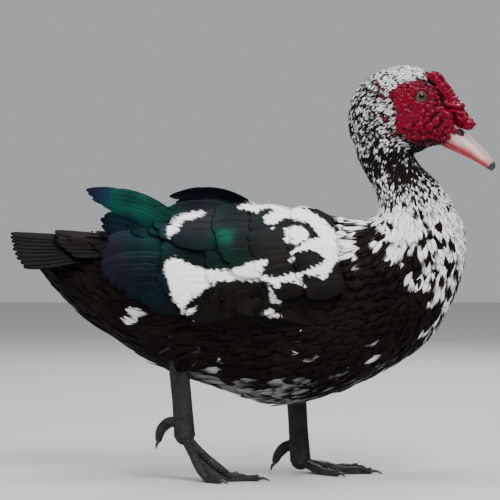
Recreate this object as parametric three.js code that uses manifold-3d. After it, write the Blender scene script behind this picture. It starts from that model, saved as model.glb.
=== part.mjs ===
// A muscovy drake in mid-stride, life size, in millimetres.
// +X points the way the bird walks, +Y to its left, +Z up. The feet stand on Z = 0.
// The body is lofted through rings, and each ring is given by a point on the back, a point on the
// belly and a half width, so the side view can be read off the tables.

import * as THREE from "three";
import { mergeVertices } from "three/addons/utils/BufferGeometryUtils.js";
import Module from "manifold-3d";

const wasm = await Module();
wasm.setup();

const RIGHT = -1;
const LEFT = 1;
const GAP = 0.35; // between neighbouring solids
const SLIVER = 0.02; // details smaller than this are taken off a finished solid
const BODY_FULLNESS = 2.3; // exponent of the body's cross-section, 2 is an ellipse

// Body rings from the tail root to the top of the neck.
const BODY_RINGS = [
  { back: [-251, 271], belly: [-256, 257], half: 9 }, // under the tail feathers
  { back: [-208, 279], belly: [-222, 213], half: 33 }, // tail root
  { back: [-169, 282], belly: [-186, 177], half: 46 }, // vent
  { back: [-129, 286], belly: [-145, 148], half: 60 }, // rump
  { back: [-77, 292], belly: [-97, 121], half: 74 }, // behind the thighs
  { back: [-20, 298], belly: [-33, 97], half: 83 }, // loin
  { back: [38, 302], belly: [38, 81], half: 87 }, // deepest part of the belly
  { back: [84, 302], belly: [107, 98], half: 86 }, // keel
  { back: [113, 300], belly: [164, 126], half: 81 }, // shoulders
  { back: [130, 300], belly: [205, 157], half: 73 }, // breast
  { back: [139, 303], belly: [232, 199], half: 63 }, // front of the breast
  { back: [143, 310], belly: [246, 244], half: 54 }, // crop
  { back: [142, 322], belly: [246, 281], half: 45 }, // root of the neck
  { back: [137, 335], belly: [234, 312], half: 38 },
  { back: [128, 352], belly: [215, 338], half: 32 },
  { back: [119, 372], belly: [195, 358], half: 29 },
  { back: [115, 398], belly: [184, 378], half: 27 }, // inside the head
];
const TAIL_CUT = 2.35; // ring number where the tail is parted from the torso
const NECK_CUT = 10.6; // ring number where the neck is parted from the torso

// The head is built straight ahead, then turned towards the bird's right about the top of the neck.
const HEAD_PIVOT = new THREE.Vector3(153, 0, 385);
const HEAD_TURN = THREE.MathUtils.degToRad(-14);
const HEAD_TILT = THREE.MathUtils.degToRad(4);
const NECK_TWIST = [318, 390]; // the heights between which the neck twists
const HEAD_RINGS = [
  { back: [113, 412], belly: [113, 400], half: 5 }, // nape
  { back: [114, 426], belly: [118, 384], half: 16 },
  { back: [121, 445], belly: [136, 369], half: 24 },
  { back: [142, 464], belly: [160, 364], half: 28 },
  { back: [170, 473], belly: [181, 368], half: 29.5 }, // crown
  { back: [193, 471], belly: [195, 373], half: 28 },
  { back: [211, 461], belly: [206, 378], half: 24 }, // forehead
  { back: [224, 446], belly: [212, 380], half: 20 },
  { back: [231, 427], belly: [215, 381], half: 17 },
  { back: [237, 407], belly: [218, 381.5], half: 14.5 }, // root of the bill
];
const BILL_RINGS = [
  { back: [237, 406], belly: [218, 381.5], half: 14.2, mouth: 0.27 }, // root
  { back: [249, 394], belly: [233, 374.5], half: 13.6, mouth: 0.25 },
  { back: [261, 383], belly: [250, 367], half: 13.4, mouth: 0.23 },
  { back: [273, 371], belly: [264, 360], half: 13.6, mouth: 0.22 },
  { back: [280, 362], belly: [273, 354.5], half: 11, mouth: 0.2 },
  { back: [281.5, 356], belly: [277, 350.5], half: 5.5, mouth: 0.2 }, // tip
];
const NAIL_CUT = 4.05; // ring number where the horn nail starts
const MANDIBLE_END = 4.3; // the lower bill ends under the nail
const BILL_ARC = 8; // faces over one half of the bill
const LOWER_INSET = 1.1; // the lower half is narrower by this on each side
const NOSTRIL = { at: [241, 393.5], out: 11.2, length: 4.6, height: 2.1, depth: 2.6, pitch: 0.72 };

const EYE_AT = [201.5, 438.5]; // in the side view of the straight head
const EYE_RADIUS = 8.2;
const EYE_PROUD = 1.6; // how far the cornea stands out of the face
const LID = { length: 6.9, height: 5.6, thickness: 1.7, around: 12, sides: 5 };

// The bare red face in the side view of the straight head, clockwise from the back corner.
const FACE_OUTLINE = [
  [163, 443],
  [183, 455],
  [202, 457],
  [219, 447],
  [231, 434],
  [252, 410],
  [239, 397],
  [226, 387],
  [203, 381],
  [187, 388],
  [172, 405],
  [173, 424],
];
const FACE_THICKNESS = 1.5;
// Small bulbs grow forwards and down, between these two values of x - z. Crowding is how near two
// of them may come, as a share of both radii.
const CARUNCLES = { small: 4.7, large: 6.2, tries: 320, crowding: 1, grow: [-270, -165] };
// The largest bulbs, over and behind the corner of the mouth: x, z and radius.
const BULBS = [
  [187, 404, 5.4],
  [199, 405, 5.4],
  [209.5, 403.5, 5.2],
  [217, 410, 5.6],
  [203, 420, 4.6],
  [229.5, 419, 5.2],
  [227, 429, 4.6],
];
// The ridge of folds along each side of the forehead: x, y, z of the top of each, and its radius.
const BROW = [
  [207, 14, 468, 5.4],
  [217, 13.5, 466, 5.9],
  [227, 13, 457, 6.2],
  [235, 12, 446, 6.4],
  [242, 11, 435, 6.4],
  [248, 9.5, 424, 6.2],
];
const BROW_REACH = 2; // how many times as tall as wide a fold is
const BROW_LEAN = [0.25, 1]; // how far forward the first and the last fold lean, in radians
const KNOB = { at: [250, 405.5], size: [8.5, 7.8, 7.4] }; // hangs over the root of the bill
const KNOB_ROOT = { at: [239, 414], size: [9.5, 10, 7.5] };

// The folded wing's outer face follows the body's side at this distance. From this share of the
// body's height it bends up and never leans in further than the last share.
const WING_OFF_BODY = 10.5;
const WING_TURN_UP = { from: 0.86, room: 0.1 };
// The primaries' own face, which closes in on the rump: half width at the root, how much of it is
// lost towards the tip, and where both lie.
const PRIMARY_FACE = { root: 64, inward: 61, rootX: -60, tipX: -190, lean: 0.25, level: 255 };

// The flesh and small coverts that the flight feathers grow from: x, top and bottom.
const WING_CORE = [
  [-106, 272, 226],
  [-92, 289, 206],
  [-50, 300, 192],
  [5, 305, 194],
  [60, 303, 204],
  [103, 288, 219],
  [121, 268, 238],
];
const WING_CORE_DEPTH = 22;

// Tiers of vanes on a wing. Roots and tips run from the first place given to the last, in the side
// view. base and lift are how far the roots and the tips stand off the wing's outer face.
const WING_TIERS = {
  primaries: {
    count: 4,
    roots: [[-52, 244], [-64, 262]],
    tips: [[-174, 281], [-184, 297], [-188, 313], [-190, 329]],
    width: 24,
    base: 0,
    lift: 0,
    segments: 4,
    face: primaryFace,
  },
  secondaries: {
    count: 5,
    roots: [[-30, 208], [-60, 264]],
    tips: [[-117, 203], [-157, 225], [-170, 247], [-163, 269]],
    width: 36,
    base: -3.4,
    lift: 3.4,
    segments: 3,
  },
  greaterCoverts: {
    count: 5,
    roots: [[-8, 203], [-38, 267]],
    tips: [[-70, 191], [-98, 215], [-106, 240], [-100, 265]],
    width: 32,
    base: -2.2,
    lift: 4.2,
    segments: 3,
  },
  medianCoverts: {
    count: 4,
    roots: [[46, 207], [16, 264]],
    tips: [[-18, 197], [-44, 228], [-52, 258]],
    width: 32,
    base: -2.2,
    lift: 3.4,
    segments: 3,
  },
  tertials: {
    count: 3,
    roots: [[8, 279], [0, 302]],
    tips: [[-92, 272], [-112, 286], [-94, 303]],
    width: 26,
    base: 1.5,
    lift: 7.4,
    segments: 3,
  },
  scapulars: {
    count: 3,
    roots: [[80, 246], [66, 297]],
    tips: [[14, 240], [-10, 270], [-16, 301]],
    width: 36,
    base: 0.5,
    lift: 7.6,
    segments: 3,
  },
};
const ROOT_LEVEL = -10.5; // where the vanes' roots start inside the core
const ROOT_SHARE = 0.07; // of its length, over which it comes up out of the core
const ROOT_WIDTH = 0.42; // of its full width
const VANE_THICKNESS = 0.8;
const VANE_STEP = 1.5; // from one vane of a tier up to the next
// Long inner feathers of the far wing that stand above the back: the x and height of the arch they
// follow, and how far out from the bird's middle it starts and ends.
const RAISED_TERTIALS = {
  arch: [
    [34, 290],
    [10, 308],
    [-25, 321],
    [-62, 325],
    [-94, 322],
  ],
  count: 2,
  step: 9,
  width: 20,
  out: [60, 34],
};

// The tail's tent: its ridge, the way it droops to the sides, and the tiers that lie on it.
const TAIL_RIDGE = { start: [-150, 277], end: [-279, 284], droop: 0.42 };
const TAIL_FEATHERS = { pairs: 4, root: [-160, 24], tip: [-279, 60], round: 17, width: 38 };
const TAIL_COVERTS = { pairs: 2, root: [-142, 24], tip: [-238, 40], round: 22, width: 36, above: 5.5 };
const UNDERTAIL_COVERTS = { pairs: 2, root: 2.2, tip: 0.25, spread: 17, width: 30 };

// Legs. Each point is x, y, z; the right foot pushes off and the left one is flat on the ground.
const LEGS = {
  right: {
    hip: [-52, -44, 176],
    hock: [-82, -49, 129],
    ankle: [-76, -51, 50],
    toes: {
      inner: [-16, -24],
      middle: [8, -62],
      outer: [-36, -90],
    },
    hallux: [[-78, -50, 66], [-93, -48, 66], [-103, -47, 57], [-106, -46, 44]],
  },
  left: {
    hip: [30, 44, 158],
    hock: [52, 42, 88],
    ankle: [57, 40, 13],
    toes: {
      inner: [99, -8],
      middle: [139, 22],
      outer: [124, 76],
    },
    hallux: [[57, 41, 33], [42, 42, 31], [32, 43, 22], [27, 43, 11]],
  },
};
const THIGH_RADIUS = 34;
const SHANK_RADIUS = 11.4; // seen from the side
const SHANK_SQUASH = 0.62; // its width over its depth
const ANKLE_SIZE = [11, 9.5, 10]; // half the length, width and height of the ankle joint
const TOE_RADIUS = 5.1;
const WEB_THICKNESS = 1.8;
const CLAW_LENGTH = 13;
const CLAW_ARCH = 1.4; // how far the back of a claw stands over a straight line

// Small repeatable random numbers.
function seededRandom(seed) {
  let state = seed;
  return () => {
    state = (state + 0x6d2b79f5) | 0;
    let t = Math.imul(state ^ (state >>> 15), 1 | state);
    t = (t + Math.imul(t ^ (t >>> 7), 61 | t)) ^ t;
    return ((t ^ (t >>> 14)) >>> 0) / 4294967296;
  };
}

// A smooth curve through rows of numbers; t counts rows.
function splineRow(rows, t) {
  const i = Math.min(Math.max(Math.floor(t), 0), rows.length - 2);
  const f = t - i;
  const a = rows[Math.max(i - 1, 0)];
  const b = rows[i];
  const c = rows[i + 1];
  const d = rows[Math.min(i + 2, rows.length - 1)];
  return b.map((_, k) => {
    const linear = (c[k] - a[k]) * f;
    const square = (2 * a[k] - 5 * b[k] + 4 * c[k] - d[k]) * f * f;
    const cube = (3 * b[k] - a[k] - 3 * c[k] + d[k]) * f * f * f;
    return 0.5 * (2 * b[k] + linear + square + cube);
  });
}

function point(x, y, z) {
  return new THREE.Vector3(x, y, z);
}

function geometryOf(vertices, triangles) {
  const positions = new Float32Array(vertices.flatMap((v) => [v.x, v.y, v.z]));
  const geometry = new THREE.BufferGeometry();
  geometry.setAttribute("position", new THREE.BufferAttribute(positions, 3));
  geometry.setIndex(triangles);
  return geometry;
}

// A closed tube through rings of points, with a fan over each end. Rings turn left about the way
// they follow each other, so the faces point out.
function loft(rings) {
  const sides = rings[0].length;
  const vertices = rings.flat();
  const triangles = [];
  for (let r = 0; r < rings.length - 1; r++) {
    for (let s = 0; s < sides; s++) {
      const a = r * sides + s;
      const b = r * sides + ((s + 1) % sides);
      const c = b + sides;
      const d = a + sides;
      triangles.push(a, b, c, a, c, d);
    }
  }
  for (const [ring, start, reversed] of [
    [rings[0], 0, true],
    [rings.at(-1), (rings.length - 1) * sides, false],
  ]) {
    const middle = ring.reduce((sum, v) => sum.add(v), point(0, 0, 0)).divideScalar(sides);
    vertices.push(middle);
    const hub = vertices.length - 1;
    for (let s = 0; s < sides; s++) {
      const a = start + s;
      const b = start + ((s + 1) % sides);
      triangles.push(...(reversed ? [hub, b, a] : [hub, a, b]));
    }
  }
  return geometryOf(vertices, triangles);
}

function solidOf(geometry) {
  const plain = geometry.clone();
  plain.deleteAttribute("normal");
  plain.deleteAttribute("uv");
  const merged = mergeVertices(plain, 1e-4);
  const mesh = new wasm.Mesh({
    numProp: 3,
    vertProperties: merged.attributes.position.array,
    triVerts: new Uint32Array(merged.index.array),
  });
  const solid = new wasm.Manifold(mesh);
  if (solid.volume() < 0) {
    const turned = new Uint32Array(merged.index.array).reverse();
    return new wasm.Manifold(
      new wasm.Mesh({
        numProp: 3,
        vertProperties: merged.attributes.position.array,
        triVerts: turned,
      })
    );
  }
  return solid;
}

function union(solids) {
  return solids.reduce((sum, next) => sum.add(next));
}

// The largest closed surface of a solid, without the slivers that joins and cuts leave on it.
function largest(solid) {
  const bodies = solid.simplify(SLIVER).decompose();
  return bodies.reduce((a, b) => (b.volume() > a.volume() ? b : a));
}

// A body form lofted through rings that each hold a back point, a belly point and a half width.
class Form {
  constructor(rings, fullness, warp = (v) => v) {
    this.rows = rings.map((r) => [...r.back, ...r.belly, r.half]);
    this.fullness = fullness;
    this.warp = warp;
    this.last = rings.length - 1;
  }

  ring(t, grow = 0) {
    const [backX, backZ, bellyX, bellyZ, half] = splineRow(this.rows, t);
    const up = new THREE.Vector2(backX - bellyX, backZ - bellyZ);
    const reach = up.length() / 2;
    up.normalize();
    return {
      middle: new THREE.Vector2((backX + bellyX) / 2, (backZ + bellyZ) / 2),
      up,
      reach: reach + grow,
      half: half + grow,
    };
  }

  // Angle 0 is the back and a quarter turn is the left side.
  at(t, angle, grow = 0) {
    const { middle, up, reach, half } = this.ring(t, grow);
    const power = 2 / this.fullness;
    const rise = Math.sign(Math.cos(angle)) * Math.abs(Math.cos(angle)) ** power * reach;
    const out = Math.sign(Math.sin(angle)) * Math.abs(Math.sin(angle)) ** power * half;
    return this.warp(point(middle.x + up.x * rise, out, middle.y + up.y * rise));
  }

  // The whole form, grown all round, and by ahead at its last ring.
  solid({ steps, sides, grow = 0, ahead = 0 }) {
    const rings = [];
    for (let r = 0; r <= steps; r++) {
      const ring = [];
      for (let s = 0; s < sides; s++) {
        ring.push(this.at((this.last * r) / steps, (-2 * Math.PI * s) / sides, grow));
      }
      rings.push(ring);
    }
    const forward = point(...this.plane(this.last).normal);
    for (const v of rings.at(-1)) v.addScaledVector(forward, ahead);
    return solidOf(loft(rings));
  }

  // The ring number and height on it, from -1 at the belly to 1 at the back, of a side-view place.
  locate(x, z) {
    const steps = 8 * this.last;
    let before = null;
    for (let i = 0; i <= steps; i++) {
      const t = (this.last * i) / steps;
      const { middle, up, reach } = this.ring(t);
      const away = (x - middle.x) * up.y - (z - middle.y) * up.x;
      if (before && before.away >= 0 !== away >= 0) {
        const share = before.away / (before.away - away);
        const found = this.ring(before.t + (t - before.t) * share);
        const rise = (x - found.middle.x) * found.up.x + (z - found.middle.y) * found.up.y;
        return { t: before.t + (t - before.t) * share, rise: rise / found.reach };
      }
      before = { t, away };
    }
    return null;
  }

  // The half width of the form at a side-view place, 0 outside it.
  side(x, z) {
    const found = this.locate(x, z);
    if (!found || Math.abs(found.rise) >= 1) return 0;
    const n = this.fullness;
    return this.ring(found.t).half * (1 - Math.abs(found.rise) ** n) ** (1 / n);
  }

  // A plane through a ring, as its unit normal, towards higher rings, and its distance.
  plane(t) {
    const { middle, up } = this.ring(t);
    const normal = [up.y, 0, -up.x];
    return { normal, distance: normal[0] * middle.x + normal[2] * middle.y };
  }
}

// The part of a solid between two planes, each with half the gap taken off.
function between(solid, low, high) {
  let part = solid;
  if (low) part = part.trimByPlane(low.normal, low.distance + GAP / 2);
  if (high) {
    const opposite = high.normal.map((n) => -n);
    part = part.trimByPlane(opposite, -high.distance + GAP / 2);
  }
  return part;
}

// A closed feather vane. place turns a place on a tract, given by two lengths, and a height over it
// into a point. Each row across has a left, middle and right point on both faces, and both faces
// are split into triangles alike. height depends on the place on the tract, so that all vanes of a
// tier stay clear of each other, and only the root dips, by sunk.
function vane({ place, root, tip, width, height, sunk = 0, segments = 4 }) {
  const [du, dv] = [tip[0] - root[0], tip[1] - root[1]];
  const length = Math.hypot(du, dv);
  const across = [-dv / length, du / length];
  const vertices = [];
  for (let i = 0; i <= segments; i++) {
    const turn = ((i - 1) / (segments - 1)) * (Math.PI / 2);
    const t = i === 0 ? 0 : ROOT_SHARE + (1 - ROOT_SHARE) * Math.sin(turn);
    const opening = ROOT_WIDTH + (1 - ROOT_WIDTH) * Math.sin(Math.min(t / 0.4, 1) * (Math.PI / 2));
    const closing = t < 0.55 ? 1 : Math.sqrt(1 - 0.96 * ((t - 0.55) / 0.45) ** 2);
    const half = (width / 2) * opening * closing;
    for (const face of [0.5, -0.5]) {
      for (const share of [-1, 0, 1]) {
        const u = root[0] + du * t + across[0] * share * half;
        const v = root[1] + dv * t + across[1] * share * half;
        const over = height(u, v) - (i === 0 ? sunk : 0);
        vertices.push(place(u, v, over + face * VANE_THICKNESS));
      }
    }
  }
  const triangles = [];
  for (let i = 0; i < segments; i++) {
    const a = i * 6;
    const b = a + 6;
    for (const k of [0, 1]) {
      triangles.push(a + k, a + k + 1, b + k + 1, a + k, b + k + 1, b + k);
      triangles.push(a + 3 + k, b + 4 + k, a + 4 + k, a + 3 + k, b + 3 + k, b + 4 + k);
    }
    triangles.push(a, b, a + 3, b, b + 3, a + 3);
    triangles.push(a + 2, a + 5, b + 2, b + 2, a + 5, b + 5);
  }
  const end = segments * 6;
  for (const k of [0, 1]) {
    triangles.push(k, k + 3, k + 1, k + 1, k + 3, k + 4);
    triangles.push(end + k, end + k + 1, end + k + 3, end + k + 1, end + k + 4, end + k + 3);
  }
  return solidOf(geometryOf(vertices, triangles));
}

// Where a place lies among the middle lines of a tier's vanes, which are given as the lengths v
// that they pass at its u: 1.5 is halfway between the second and the third.
function rankAmong(lines, v) {
  const rising = lines.at(-1) > lines[0];
  const next = lines.findIndex((line) => (rising ? line > v : line < v));
  const first = next < 0 ? lines.length - 2 : THREE.MathUtils.clamp(next - 1, 0, lines.length - 2);
  return first + (v - lines[first]) / (lines[first + 1] - lines[first]);
}

function lineAt({ root, tip }, u) {
  return root[1] + ((tip[1] - root[1]) * (u - root[0])) / (tip[0] - root[0]);
}

// A tube along a curve with a radius for each share of its length, flattened by squash in height.
function tube({ path, radius, steps, sides = 8, squash = 1 }) {
  const rings = [];
  for (let i = 0; i <= steps; i++) {
    const t = i / steps;
    const at = path.getPoint(t);
    const along = path.getTangent(t);
    const level = Math.abs(along.z) > 0.85 ? point(0, 1, 0) : point(0, 0, 1);
    const across = new THREE.Vector3().crossVectors(along, level).normalize();
    const up = new THREE.Vector3().crossVectors(across, along);
    const ring = [];
    for (let s = 0; s < sides; s++) {
      const angle = (2 * Math.PI * s) / sides;
      ring.push(
        at
          .clone()
          .addScaledVector(across, -Math.cos(angle) * radius(t))
          .addScaledVector(up, Math.sin(angle) * radius(t) * squash)
      );
    }
    rings.push(ring);
  }
  return solidOf(loft(rings));
}

function curveThrough(points) {
  return new THREE.CatmullRomCurve3(points, false, "centripetal");
}

// The neck twists towards where the head looks.
function twistNeck(v) {
  const share = THREE.MathUtils.smoothstep(v.z, NECK_TWIST[0], NECK_TWIST[1]);
  const arm = v.clone().sub(HEAD_PIVOT);
  return arm.applyAxisAngle(point(0, 0, 1), HEAD_TURN * share).add(HEAD_PIVOT);
}

// Body, parted into tail root, torso and neck.
const body = new Form(BODY_RINGS, BODY_FULLNESS, twistNeck);
const wholeBody = body.solid({ steps: 28, sides: 22 });
const bodyWithGap = body.solid({ steps: 28, sides: 22, grow: GAP });
const torso = between(wholeBody, body.plane(TAIL_CUT), body.plane(NECK_CUT));
const tailRoot = between(wholeBody, null, body.plane(TAIL_CUT));
const neckWithTop = between(wholeBody, body.plane(NECK_CUT), null);

// Turns a point or a solid of the straight head to where the head looks.
const headTurn = new THREE.Matrix4()
  .makeTranslation(HEAD_PIVOT)
  .multiply(new THREE.Matrix4().makeRotationZ(HEAD_TURN))
  .multiply(new THREE.Matrix4().makeRotationX(HEAD_TILT))
  .multiply(new THREE.Matrix4().makeTranslation(HEAD_PIVOT.clone().negate()));
const turned = (solid) => solid.transform(headTurn.toArray());

const headForm = new Form(HEAD_RINGS, 2.15);
const headCore = headForm.solid({ steps: 12, sides: 14 });
const headWithGap = headForm.solid({ steps: 12, sides: 14, grow: GAP, ahead: GAP });

// A ball stretched and turned about Y, with few faces, or with more where detail is given.
function ball(center, size, pitch = 0, detail = 0) {
  const geometry = detail
    ? new THREE.OctahedronGeometry(1, detail)
    : new THREE.IcosahedronGeometry(1, 0);
  geometry.scale(...size);
  geometry.rotateY(pitch);
  geometry.translate(...center);
  return solidOf(geometry);
}

function eyeCenter(side) {
  const [x, z] = EYE_AT;
  return point(x, side * (headForm.side(x, z) + FACE_THICKNESS + EYE_PROUD - EYE_RADIUS), z);
}

function eyeBall(side, radius) {
  const geometry = new THREE.SphereGeometry(radius, 12, 8);
  geometry.translate(...eyeCenter(side).toArray());
  return solidOf(geometry);
}

// The upper and lower lid as one raised rim round the eye.
function lidRim(side) {
  const { length, height, thickness, around, sides } = LID;
  const center = eyeCenter(side);
  const places = [];
  for (let i = 0; i < around; i++) {
    const angle = (2 * Math.PI * i) / around;
    const x = length * Math.cos(angle);
    const z = height * Math.sin(angle);
    const depth = Math.sqrt(EYE_RADIUS ** 2 - x * x - z * z);
    places.push(point(center.x + x, center.y + side * depth, center.z + z));
  }
  const path = new THREE.CatmullRomCurve3(places, true);
  const vertices = [];
  const triangles = [];
  for (let i = 0; i < around; i++) {
    const away = places[i].clone().sub(center).normalize();
    const across = new THREE.Vector3().crossVectors(path.getTangent(i / around), away);
    for (let s = 0; s < sides; s++) {
      const turn = (2 * Math.PI * s) / sides;
      vertices.push(
        places[i]
          .clone()
          .addScaledVector(away, Math.sin(turn) * thickness)
          .addScaledVector(across, Math.cos(turn) * thickness)
      );
      const a = i * sides + s;
      const b = i * sides + ((s + 1) % sides);
      const next = ((i + 1) % around) * sides;
      const c = next + ((s + 1) % sides);
      const d = next + s;
      triangles.push(a, b, c, a, c, d);
    }
  }
  return solidOf(geometryOf(vertices, triangles));
}

// Caruncles: the large bulbs, and smaller ones thrown at random over one side of the bare face.
function caruncles(side, outline) {
  const random = seededRandom(side === RIGHT ? 11 : 23);
  const placed = BULBS.map(([x, z, radius]) => ({ x, z, radius, turn: 0.4, tall: 1.1 }));
  const inside = (x, z) => {
    let odd = false;
    outline.forEach(([ax, az], i) => {
      const [bx, bz] = outline[(i + 1) % outline.length];
      if (az > z !== bz > z && x < ((bx - ax) * (z - az)) / (bz - az) + ax) odd = !odd;
    });
    return odd;
  };
  const { small, large, tries, crowding, grow } = CARUNCLES;
  const bounds = new THREE.Box2().setFromPoints(outline.map((p) => new THREE.Vector2(...p)));
  for (let i = 0; i < tries; i++) {
    const x = THREE.MathUtils.lerp(bounds.min.x, bounds.max.x, random());
    const z = THREE.MathUtils.lerp(bounds.min.y, bounds.max.y, random());
    const forward = THREE.MathUtils.clamp((x - z - grow[0]) / (grow[1] - grow[0]), 0, 1);
    const radius = THREE.MathUtils.lerp(small, large, forward) * (0.85 + 0.3 * random());
    const fromEye = Math.hypot(x - EYE_AT[0], z - EYE_AT[1]);
    if (!inside(x, z) || fromEye < LID.length + LID.thickness + radius * 0.5) continue;
    const free = placed.every(
      (p) => Math.hypot(p.x - x, p.z - z) > (p.radius + radius) * crowding
    );
    if (free) placed.push({ x, z, radius, turn: random() * Math.PI, tall: 1 + 0.45 * random() });
  }
  return placed.map(({ x, z, radius, turn, tall }) => {
    const y = side * (headForm.side(x, z) + FACE_THICKNESS - radius * 0.2);
    return ball([x, y, z], [radius, radius * 0.85, radius * tall], turn);
  });
}

// The bare face: a skin over the front of the head that carries the caruncles and the lids.
const outlineShape = new THREE.Shape(FACE_OUTLINE.map(([x, z]) => new THREE.Vector2(x, z)));
const outlinePrism = new THREE.ExtrudeGeometry(outlineShape, { depth: 90, bevelEnabled: false });
outlinePrism.rotateX(Math.PI / 2);
outlinePrism.translate(0, 45, 0);
const faceSkin = headForm
  .solid({ steps: 12, sides: 14, grow: FACE_THICKNESS + GAP })
  .intersect(solidOf(outlinePrism));
const knob = ball([KNOB.at[0], 0, KNOB.at[1]], KNOB.size, 0.6, 2);
const knobRoot = ball([KNOB_ROOT.at[0], 0, KNOB_ROOT.at[1]], KNOB_ROOT.size, 0.6, 1);
const brow = [RIGHT, LEFT].flatMap((side) =>
  BROW.map(([x, y, z, radius], i) => {
    const lean = THREE.MathUtils.lerp(...BROW_LEAN, i / (BROW.length - 1));
    const sunk = radius * BROW_REACH;
    const center = [x - Math.sin(lean) * sunk, side * y, z - Math.cos(lean) * sunk];
    return ball(center, [radius * 1.1, radius, sunk], lean, 1);
  })
);
const foldsOverBill = [RIGHT, LEFT].flatMap((side) => [
  ball([228, side * 17, 418], [10, 4.5, 5.2], 0.5, 1),
  ball([231, side * 14.5, 408], [8, 5, 6.5], 0.9, 1),
]);

// Bill: an upper half with the horn nail, and a lower half that closes under it.
const billRows = BILL_RINGS.map((r) => [...r.back, ...r.belly, r.half, r.mouth]);
const billLast = BILL_RINGS.length - 1;

// One ring of the bill. Upper rings reach from the mouth line to the culmen, lower ones down.
function billRing(t, upper, grow = 0) {
  const [backX, backZ, bellyX, bellyZ, half, mouth] = splineRow(billRows, t);
  const lineX = bellyX + (backX - bellyX) * mouth;
  const lineZ = bellyZ + (backZ - bellyZ) * mouth;
  const [endX, endZ] = upper ? [backX, backZ] : [bellyX, bellyZ];
  const height = Math.hypot(endX - lineX, endZ - lineZ);
  const up = [(endX - lineX) / height, (endZ - lineZ) / height];
  const width = (upper ? half : half - LOWER_INSET) + grow;
  const ring = [];
  for (let s = 0; s <= BILL_ARC; s++) {
    const angle = (Math.PI * s) / BILL_ARC;
    const rise = Math.sin(angle) ** 0.75 * (height + grow) + GAP / 2;
    const low = s === 0 || s === BILL_ARC ? GAP / 2 - grow : rise;
    const y = Math.cos(angle) * width * (upper ? 1 : -1);
    ring.push(point(lineX + up[0] * low, y, lineZ + up[1] * low));
  }
  return ring;
}

function billHalf(upper, to, grow = 0) {
  const steps = 9;
  const rings = [];
  for (let r = 0; r <= steps; r++) rings.push(billRing((to * r) / steps, upper, grow));
  return solidOf(loft(rings));
}

const billForm = new Form(BILL_RINGS, 2);
const rootPlane = billForm.plane(0);
const upperWithNail = between(billHalf(true, billLast), rootPlane, null);
const nostrils = [RIGHT, LEFT].map((side) => {
  const [x, z] = NOSTRIL.at;
  const { out, length, height, depth, pitch } = NOSTRIL;
  return ball([x, side * out, z], [length, depth, height], pitch, 2);
});
const billUpper = between(upperWithNail, null, billForm.plane(NAIL_CUT)).subtract(union(nostrils));
const billNail = between(upperWithNail, billForm.plane(NAIL_CUT), null);
const billLower = between(billHalf(false, MANDIBLE_END), rootPlane, null);
const billClearance = billHalf(true, billLast, GAP).add(billHalf(false, MANDIBLE_END, GAP));

const eyeSockets = union([RIGHT, LEFT].map((side) => eyeBall(side, EYE_RADIUS + GAP)));
const head = between(headCore, null, rootPlane).subtract(eyeSockets);
const face = largest(
  union([
    faceSkin,
    knob,
    knobRoot,
    ...brow,
    ...foldsOverBill,
    ...[RIGHT, LEFT].flatMap((side) => caruncles(side, FACE_OUTLINE)),
    ...[RIGHT, LEFT].map(lidRim),
  ])
    .subtract(headWithGap)
    .subtract(billClearance)
    .subtract(eyeSockets)
);
const neck = largest(neckWithTop.subtract(turned(headWithGap)).subtract(turned(face)));

// Wings.
// Half the distance between the two wings' outer faces at a side-view place.
function wingFace(x, z) {
  const found = body.locate(x, z);
  const { middle, up, reach, half } = body.ring(found.t, WING_OFF_BODY);
  const height = (x - middle.x) * up.x + (z - middle.y) * up.y;
  const { from, room } = WING_TURN_UP;
  const over = Math.max(Math.abs(height) / reach - from, 0);
  const rise = Math.min(Math.abs(height) / reach, from) + room * (1 - Math.exp(-over / room));
  return half * (1 - rise ** BODY_FULLNESS) ** (1 / BODY_FULLNESS);
}

function primaryFace(x, z) {
  const { root, inward, rootX, tipX, lean, level } = PRIMARY_FACE;
  const share = Math.max((x - rootX) / (tipX - rootX), 0);
  return root - inward * share ** 1.6 - lean * (z - level) * Math.max(1 - share, 0);
}

// A point at a height over the wing's outer face, or over another face given the same way.
function overWing(x, z, height, side, face = wingFace) {
  const step = 3;
  const slopeX = (face(x + step, z) - face(x - step, z)) / (2 * step);
  const slopeZ = (face(x, z + step) - face(x, z - step)) / (2 * step);
  const normal = point(-slopeX, 1, -slopeZ).normalize();
  const at = point(x, face(x, z), z).addScaledVector(normal, height);
  return at.setY(side * at.y);
}

function wingCore(side) {
  const rings = [];
  const steps = 8;
  const across = 5;
  for (let r = 0; r <= steps; r++) {
    const [x, top, bottom] = splineRow(WING_CORE, ((WING_CORE.length - 1) * r) / steps);
    const outer = [];
    const inner = [];
    for (let i = 0; i <= across; i++) {
      const z = top + ((bottom - top) * i) / across;
      const lens = Math.sqrt(Math.max(1 - (2 * (i / across) - 1) ** 4, 0));
      const bare = THREE.MathUtils.smoothstep(x, 30, 95);
      outer.push(overWing(x, z, 4 * lens + 3.5 * bare - 9.5, side));
      if (i > 0 && i < across) inner.unshift(overWing(x, z, -WING_CORE_DEPTH, side));
    }
    rings.push([...outer, ...inner]);
  }
  return solidOf(loft(rings));
}

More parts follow.
